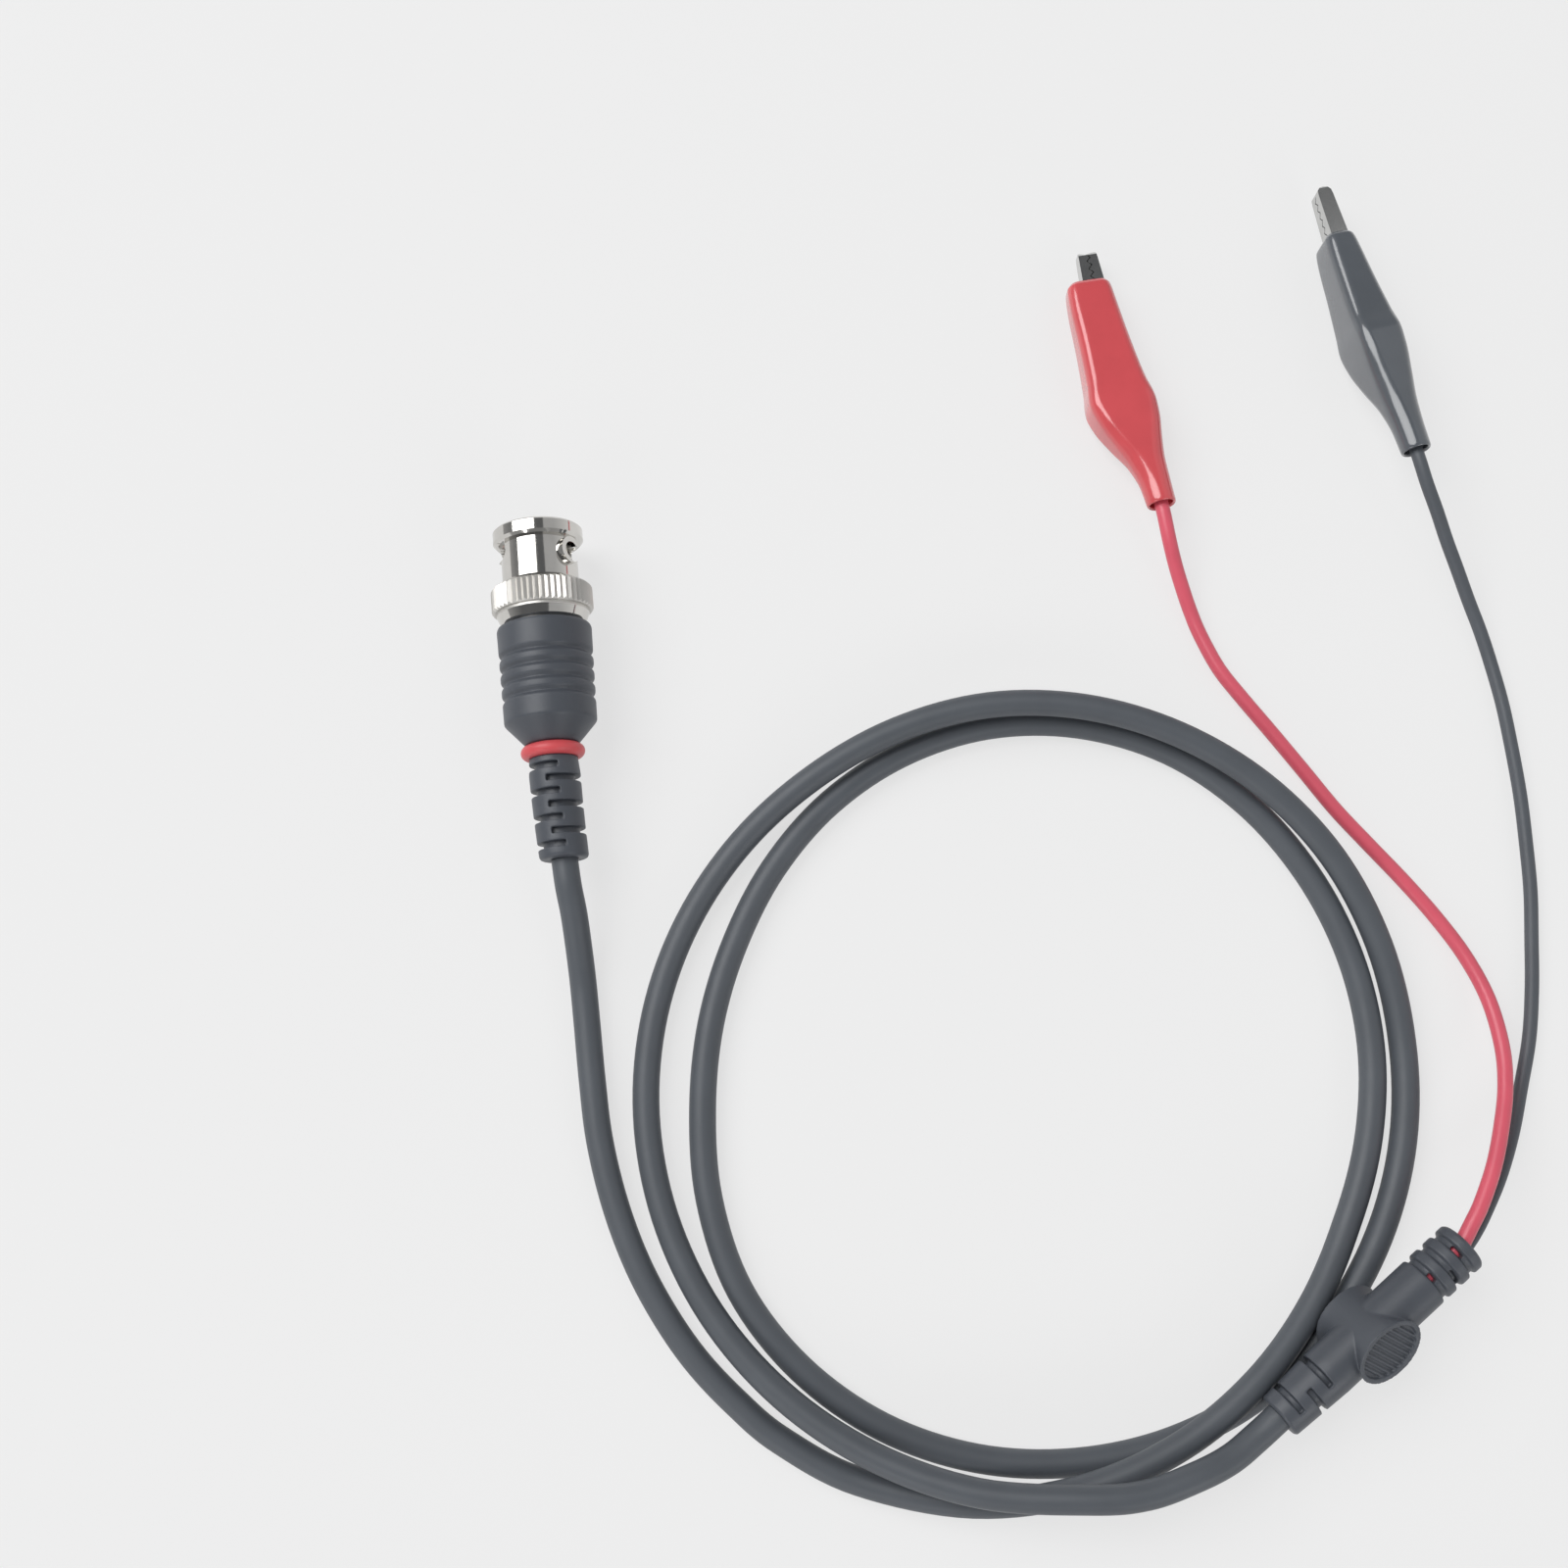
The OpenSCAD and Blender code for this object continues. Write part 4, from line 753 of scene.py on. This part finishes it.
def clip_matrix(clip):
    """Takes the clip's own frame, with its pivot at the origin and its tip on +X, to its place."""
    heading, pitch, roll = (math.radians(a) for a in clip["turn"])
    turn = (Matrix.Rotation(heading, 4, "Z") @ Matrix.Rotation(pitch, 4, "Y")
            @ Matrix.Rotation(roll, 4, "X"))
    pivot = Vector((clip["bare"] + BOOT_LEN - JAW_LEN, 0, -NECK_OFFSET))
    return Matrix.Translation(Vector(clip["end"]) * MM) @ turn @ Matrix.Translation(pivot * MM)


def slopes(rows, column):
    """The slope of a column at every row, flat where it turns."""
    chords = [(b[column] - a[column]) / (b[0] - a[0]) for a, b in zip(rows, rows[1:])]
    inner = [0 if a * b <= 0 else 2 * a * b / (a + b) for a, b in zip(chords, chords[1:])]
    return [chords[0], *inner, chords[-1]]


def smooth_rows(rows, steps):
    """Rows of numbers interpolated as one smooth line over their first, without overshoot."""
    bends = [slopes(rows, column) for column in range(1, len(rows[0]))]
    out = []
    for i, (a, b) in enumerate(zip(rows, rows[1:])):
        h = b[0] - a[0]
        for s in range(steps):
            t = s / steps
            row = [a[0] + h * t]
            for column, m in enumerate(bends, 1):
                row.append((2 * t ** 3 - 3 * t ** 2 + 1) * a[column]
                           + (t ** 3 - 2 * t ** 2 + t) * h * m[i]
                           + (3 * t ** 2 - 2 * t ** 3) * b[column]
                           + (t ** 3 - t ** 2) * h * m[i + 1])
            out.append(tuple(row))
    return out + [tuple(rows[-1])]


def rounded_box(x, half_z, half_y, corner, centre_z, wall=0.0):
    """A ring across the clip at x, with rounded corners, or one that lies wall inside it."""
    ring = []
    r = max(corner - wall, LEAST_CORNER)
    hy, hz = half_y - wall, half_z - wall
    for k in range(RING_SIDES):
        a = math.tau * (k + 0.5) / RING_SIDES
        y = math.copysign(hy - r, math.cos(a)) + r * math.cos(a)
        z = math.copysign(hz - r, math.sin(a)) + r * math.sin(a)
        ring.append((x, y, centre_z + z))
    return ring


def boot_rows(bare):
    mouth = JAW_LEN - bare
    end = mouth - BOOT_LEN
    rows = [(mouth + (BULGE_AT - mouth) * share, *box) for share, *box in BOOT_FRONT]
    return rows + [(BULGE_AT + (end - BULGE_AT) * share, *box) for share, *box in BOOT_REAR]


def add_clip_boot(colour, clip):
    rows = smooth_rows(boot_rows(clip["bare"]), ROW_STEPS)
    (mouth, *mouth_box), (end, *end_box) = rows[0], rows[-1]
    lip = [rounded_box(mouth + MOUTH_LIP[0], *mouth_box, wall=MOUTH_LIP[1]),
           rounded_box(mouth + BOOT_RIM, *mouth_box, wall=BOOT_RIM)]
    outside = [rounded_box(*row) for row in rows]
    tail = [rounded_box(end - BOOT_RIM, *end_box, wall=BOOT_RIM),
            rounded_box(end + TAIL_LIP[0], *end_box, wall=TAIL_LIP[1])]
    inside = [rounded_box(*row, wall=VINYL_T) for row in rows[::-INSIDE_EVERY]]
    rings = lip + outside + tail + inside
    boot = add_mesh(colour + "_boot_skin", [point for ring in rings for point in ring],
                    grid_faces(len(rings), RING_SIDES, close_rows=True), BOOT_SHARP_ABOVE)
    fine = boot.modifiers.new("fine", "SUBSURF")
    fine.levels = fine.render_levels = 1
    settle(boot)
    boot.data.shade_smooth()
    matrix = clip_matrix(clip)
    move_mesh(boot, matrix)
    paint(boot, colour + "_vinyl")
    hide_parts(colour + "_clip_boot")
    # where the boot's side beside the moving jaw starts and ends; the boot does not go with that
    # jaw, and all of it stays
    start = FOLLOW_FROM
    end = start + FOLLOW_OVER * FOLLOW_AXIS
    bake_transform(boot)


for colour, clip in CLIPS.items():
    add_clip_boot(colour, clip)


def flexing_copy(node):
    """A piece with the shape of a CAD spring, in its place."""
    mesh = nodes[node].data.copy()
    mesh.transform(nodes[node].matrix_world)
    piece = bpy.data.objects.new(node + "_flexing", mesh)
    scene.collection.objects.link(piece)
    paint(piece, "spring_steel")
    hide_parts(node)
    return piece


def add_springs():
    wave = flexing_copy("wave_spring")
    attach(wave, "lead")
    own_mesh(wave)
    for colour, clip in CLIPS.items():
        spring = flexing_copy(colour + "_clip_spring")
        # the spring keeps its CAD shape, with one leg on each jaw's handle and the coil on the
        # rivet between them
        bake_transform(spring)


add_springs()

# ------------------------------------------------------------------ floor, lights and world
FLOOR = (0.855, 0.855, 0.855)
FLOOR_HALF = 3                               # metres
FLOOR_ROUGHNESS = 0.9
FLOOR_SPECULAR = 0.1
FLAT_SHARE = 0.8                             # of the floor that is seen as an even backdrop
LEVEL_WORLD = (0.38, 0.38, 0.38)
HIGH_WORLD = (0.13, 0.133, 0.138)
HIGH_FROM = 0.6                              # the sine of the elevation where it is darkest
# name: place, width and height in metres, and power in watts; each is aimed at the origin
LIGHTS = {
    "softbox_left": ((-0.8, 0.6, 1.25), (1.1, 1.3), 21.5),
    "softbox_right": ((1.3, 0, 0.9), (2.6, 2.2), 6.3),
    "softbox_front_left": ((-0.74, -1.0, 0.62), (0.8, 0.45), 3.6),
    "softbox_front_right": ((0.64, -1.06, 0.63), (0.6, 0.45), 3.4),
}


def add_math(tree, operation, first, second):
    """A Math node whose second input is a socket or a number."""
    node = tree.nodes.new("ShaderNodeMath")
    node.operation = operation
    tree.links.new(first, node.inputs[0])
    if isinstance(second, bpy.types.NodeSocket):
        tree.links.new(second, node.inputs[1])
    else:
        node.inputs[1].default_value = second
    return node.outputs["Value"]


def floor_material():
    """Plain and matt. The camera, metal and glass see it partly as an even backdrop, which
    leaves the faint shadow of the photograph."""
    mat, tree, shader = new_material("floor", FLOOR, FLOOR_ROUGHNESS, specular=FLOOR_SPECULAR)
    flat = tree.nodes.new("ShaderNodeEmission")
    flat.inputs["Color"].default_value = (*FLOOR, 1)
    path = tree.nodes.new("ShaderNodeLightPath")
    seen = path.outputs["Is Camera Ray"]
    for ray in ("Is Glossy Ray", "Is Transmission Ray"):
        seen = add_math(tree, "MAXIMUM", seen, path.outputs[ray])
    mix = tree.nodes.new("ShaderNodeMixShader")
    tree.links.new(add_math(tree, "MULTIPLY", seen, FLAT_SHARE), mix.inputs["Fac"])
    tree.links.new(shader.outputs["BSDF"], mix.inputs[1])
    tree.links.new(flat.outputs["Emission"], mix.inputs[2])
    tree.links.new(mix.outputs["Shader"], tree.nodes["Material Output"].inputs["Surface"])
    return mat


def add_floor():
    corners = [(-1, -1), (1, -1), (1, 1), (-1, 1)]
    mesh = bpy.data.meshes.new("floor")
    mesh.from_pydata([(x * FLOOR_HALF, y * FLOOR_HALF, 0) for x, y in corners], [], [(0, 1, 2, 3)])
    mesh.materials.append(floor_material())
    floor = bpy.data.objects.new("floor", mesh)
    scene.collection.objects.link(floor)


def add_light(name, at, size, power):
    data = bpy.data.lights.new(name, "AREA")
    data.shape = "RECTANGLE"
    data.size, data.size_y = size
    data.energy = power
    light = bpy.data.objects.new(name, data)
    light.location = at
    light.rotation_euler = (Vector() - Vector(at)).to_track_quat("-Z", "Y").to_euler()
    scene.collection.objects.link(light)


def add_world():
    """A grey surround that darkens upwards."""
    world = bpy.data.worlds.new("studio")
    world.use_nodes = True
    tree = world.node_tree
    background = tree.nodes["Background"]
    coords = tree.nodes.new("ShaderNodeTexCoord")
    split = tree.nodes.new("ShaderNodeSeparateXYZ")
    ramp = tree.nodes.new("ShaderNodeValToRGB")
    level, high = ramp.color_ramp.elements[0], ramp.color_ramp.elements[1]
    level.position, high.position = 0, HIGH_FROM
    level.color, high.color = (*LEVEL_WORLD, 1), (*HIGH_WORLD, 1)
    tree.links.new(coords.outputs["Generated"], split.inputs["Vector"])
    tree.links.new(split.outputs["Z"], ramp.inputs["Fac"])
    tree.links.new(ramp.outputs["Color"], background.inputs["Color"])
    background.inputs["Strength"].default_value = 1
    scene.world = world


add_floor()
for name, lamp in LIGHTS.items():
    add_light(name, *lamp)
add_world()
